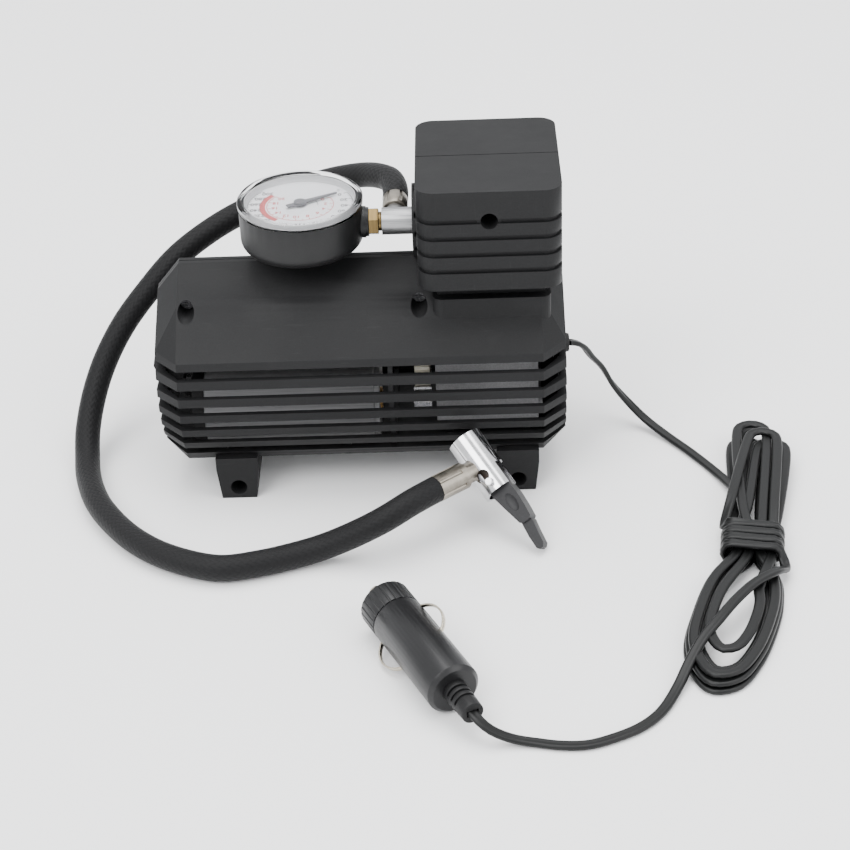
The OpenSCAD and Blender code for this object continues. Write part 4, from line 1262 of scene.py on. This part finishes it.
@dataclass
class Gauge:
    """The printed scales and the trim ring between the dial and the clear cap."""

    middle: Vector = field(default_factory=lambda: mm(-23, 0, 119))
    start: float = 30.0
    sweep: float = 250.0
    lift: float = 0.02 * MM
    thick: float = 0.05 * MM
    outer: Scale = Scale(
        300, 20, 5, (18.6, 2.5), (20.5, 22.0, 0.34), (21.2, 22.0, 0.2), (22.0, 22.25)
    )
    inner: Scale = Scale(
        20, 2, 1, (10.6, 2.3), (12.4, 13.8, 0.3), (13.0, 13.8, 0.2), (13.8, 14.05)
    )
    # Inner and outer radius, and the shares of the scale where it starts and ends
    centre_arc: tuple[float, float, float, float] = (7.3, 7.5, -0.1, 0.12)
    warning_band: tuple[float, float, float, float] = (14.6, 17.0, 0.62, 1.0)
    letter_scale: float = 1.3
    letter_weight: float = 0.04 * MM
    arc_steps: int = 90
    trim_radii: tuple[float, float] = (22.7 * MM, 23.3 * MM)
    trim_heights: tuple[float, float] = (0.1 * MM, 2.7 * MM)
    trim_wall: float = 0.35 * MM

    def angle(self, share: float) -> float:
        """Return the angle of a share of the scale, in radians."""
        return math.radians(self.start - self.sweep * share)

    def spot(self, radius: float, angle: float) -> Vector:
        """Return the point of the dial at a radius in millimetres and an angle."""
        reach = radius * MM
        return self.middle + Vector((reach * math.cos(angle), reach * math.sin(angle), self.lift))

    def build(self, wardrobe: Wardrobe) -> None:
        """Print the dial and add the trim.

        Args:
            wardrobe: The finishes.
        """
        dark = [*self._scale(self.outer), self._arc(*self.centre_arc)]
        self._finish(dark, "dial_print_dark", "print_dark", wardrobe)
        self._finish(self._scale(self.inner), "dial_print_red", "print_red", wardrobe)
        band = [self._arc(*self.warning_band)]
        self._finish(band, "dial_warning_band", "print_pink", wardrobe)
        self._trim(wardrobe)

    def _scale(self, scale: Scale) -> list[Piece]:
        """Print one scale's numbers, marks and line.

        Args:
            scale: The scale.

        Returns:
            The printed parts.
        """
        steps = range(0, scale.top + 1, scale.step)
        small = [v for v in range(0, scale.top + 1, scale.small_step) if v % scale.step]
        parts = [self._number(str(v), v / scale.top, *scale.numbers) for v in steps]
        parts += [self._tick(v / scale.top, *scale.marks) for v in steps]
        parts += [self._tick(v / scale.top, *scale.small_marks) for v in small]
        parts.append(self._arc(*scale.line, *WHOLE))
        return parts

    @staticmethod
    def _finish(parts: list[Piece], name: str, finish: str, wardrobe: Wardrobe) -> None:
        """Join printed parts, give them ink, and fix them to the casing.

        Args:
            parts: The printed parts.
            name: The joined piece's name.
            finish: Its finish.
            wardrobe: The finishes.
        """
        piece = settle(join(parts, name))
        wardrobe.wear(piece, finish)
        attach(piece, "housing")
        LOG.info("%s printed", name)

    def _number(self, text: str, share: float, radius: float, size: float) -> Piece:
        """Make one number, read from behind the machine.

        Args:
            text: The number.
            share: Its place, as a share of the scale.
            radius: Its distance from the middle, in millimetres.
            size: Its height in millimetres.

        Returns:
            The number as a mesh.
        """
        deselect_all()
        bpy.ops.object.text_add(location=(0.0, 0.0, 0.0))
        label = bpy.context.object
        label.data.body = text
        label.data.align_x, label.data.align_y = "CENTER", "CENTER"
        label.data.size = size * MM * self.letter_scale
        label.data.extrude = self.thick / 2
        label.data.offset = self.letter_weight
        bpy.ops.object.convert(target="MESH")
        label = bpy.context.object
        label.rotation_euler = (0.0, 0.0, math.pi)
        label.location = self.spot(radius, self.angle(share))
        return settle(label)

    def _tick(self, share: float, inner: float, outer: float, width: float) -> Piece:
        """Make one mark of a scale.

        Args:
            share: Its place, as a share of the scale.
            inner: Its inner radius in millimetres.
            outer: Its outer radius.
            width: Its width.

        Returns:
            The mark.
        """
        deselect_all()
        angle = self.angle(share)
        bpy.ops.mesh.primitive_cube_add(size=1.0, location=self.spot((inner + outer) / 2, angle))
        tick = bpy.context.object
        tick.scale = ((outer - inner) * MM, width * MM, self.thick)
        tick.rotation_euler = (0.0, 0.0, angle)
        return settle(tick)

    def _arc(self, inner: float, outer: float, first: float, last: float) -> Piece:
        """Spin a thin band between two shares of the scale.

        Args:
            inner: Inner radius in millimetres.
            outer: Outer radius in millimetres.
            first: Where it starts, as a share of the scale.
            last: Where it ends.

        Returns:
            The band.
        """
        deselect_all()
        angle = self.angle(first)
        bpy.ops.mesh.primitive_plane_add(size=1.0, location=self.spot((inner + outer) / 2, angle))
        band = bpy.context.object
        band.scale = ((outer - inner) * MM, 0.0001, 1.0)
        band.rotation_euler = (0.0, 0.0, angle)
        settle(band)
        bpy.ops.object.mode_set(mode="EDIT")
        bpy.ops.mesh.select_mode(type="VERT")
        bpy.ops.mesh.select_all(action="SELECT")
        bpy.ops.object.mode_set(mode="OBJECT")
        side = Vector((-math.sin(angle), math.cos(angle), 0.0))
        for vert in band.data.vertices:
            vert.select = (vert.co - self.spot(inner, angle)).dot(side) < 0
        for edge in band.data.edges:
            edge.select = all(band.data.vertices[v].select for v in edge.vertices)
        for face in band.data.polygons:
            face.select = False
        bpy.ops.object.mode_set(mode="EDIT")
        bpy.ops.mesh.select_mode(type="EDGE")
        bpy.ops.mesh.spin(
            steps=max(4, round(self.arc_steps * (last - first))),
            angle=math.radians(self.sweep * (last - first)),
            center=self.middle + Vector((0.0, 0.0, self.lift)),
            axis=(0.0, 0.0, 1.0),
        )
        bpy.ops.mesh.select_all(action="SELECT")
        bpy.ops.mesh.remove_doubles(threshold=0.000001)
        bpy.ops.mesh.normals_make_consistent(inside=False)
        bpy.ops.object.mode_set(mode="OBJECT")
        wall = band.modifiers.new("thickness", "SOLIDIFY")
        wall.thickness, wall.offset = self.thick, 0.0
        return apply_modifiers(band)

    def _trim(self, wardrobe: Wardrobe) -> None:
        """Add the sloping grey ring round the dial.

        Args:
            wardrobe: The finishes.
        """
        deselect_all()
        low, high = self.trim_heights
        bpy.ops.mesh.primitive_cone_add(
            vertices=96,
            radius1=self.trim_radii[0],
            radius2=self.trim_radii[1],
            depth=high - low,
            end_fill_type="NOTHING",
            location=self.middle + Vector((0.0, 0.0, (low + high) / 2)),
        )
        ring = settle(bpy.context.object)
        ring.name = "dial_trim_ring"
        wall = ring.modifiers.new("thickness", "SOLIDIFY")
        wall.thickness, wall.offset = self.trim_wall, 0.0
        apply_modifiers(ring)
        smooth(ring)
        wardrobe.wear(ring, "bezel_grey")
        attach(ring, "housing")
        LOG.info("dial trim ring added")


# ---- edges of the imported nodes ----


@dataclass
class Edges:
    """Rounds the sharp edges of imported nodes, as moulding and casting do."""

    weld_gap: float = 0.002 * MM
    flat_degrees: float = 0.6
    # Node, radius in millimetres, and the angle above which an edge is rounded
    rounds: tuple[tuple[str, float, float], ...] = (
        ("front_casing", 0.5, 32.0), ("rear_casing", 0.5, 32.0), ("gauge_case", 0.35, 32.0),
        ("chuck_lever", 0.55, 28.0), ("switch_housing", 0.4, 32.0), ("rocker_button", 0.4, 28.0),
        ("plug_body", 0.4, 32.0), ("plug_cap", 0.25, 32.0), ("plug_strain_relief", 0.2, 32.0),
        ("hose_ferrule", 0.3, 35.0), ("gauge_fitting", 0.25, 35.0), ("outlet_tube", 0.25, 35.0),
        ("lever_pin", 0.4, 35.0), ("cord_gland", 0.3, 35.0), ("drive_gear", 0.12, 35.0),
        ("gauge_lens", 0.2, 35.0),
        ("cylinder_head", 0.4, 35.0), ("crankcase", 0.5, 35.0), ("motor_can", 0.8, 35.0),
        ("casing_screws", 0.2, 35.0), ("chuck_seal", 0.3, 35.0), ("plug_side_contacts", 0.1, 35.0),
    )

    def build(self, frame: dict) -> None:
        """Add the live modifiers.
        """
        for name, width, angle in self.rounds:
            node = frame["nodes"][name]
            weld = node.modifiers.new("weld", "WELD")
            weld.merge_threshold = self.weld_gap
            flat = node.modifiers.new("flats", "DECIMATE")
            flat.decimate_type = "DISSOLVE"
            flat.angle_limit = math.radians(self.flat_degrees)
            bevel = node.modifiers.new("edges", "BEVEL")
            bevel.limit_method = "ANGLE"
            bevel.angle_limit = math.radians(angle)
            bevel.width = width * MM
            bevel.segments = 2
            bevel.use_clamp_overlap = True
            bevel.harden_normals = True
            bevel.miter_outer = "MITER_ARC"
        LOG.info("rounded the edges of %d nodes", len(self.rounds))


def main() -> None:
    """Build the studio, the cords, the finishes and the details, in that order."""
    logging.basicConfig(level=logging.INFO, format="%(message)s")
    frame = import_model()
    deselect_all()
    Studio().build()
    wardrobe = Wardrobe()
    AirHose().build(wardrobe)
    PowerCord().build(wardrobe)
    wardrobe.dress_nodes(frame)
    # Painted shade: the plunger's face, seen in the pin's hole, wears the seal's dark rubber so
    # the hole reads dark
    wardrobe.wear(frame["nodes"]["chuck_plunger"], "seal_rubber")
    Gauge().build(wardrobe)
    Edges().build(frame)


if __name__ == "__main__":
    main()
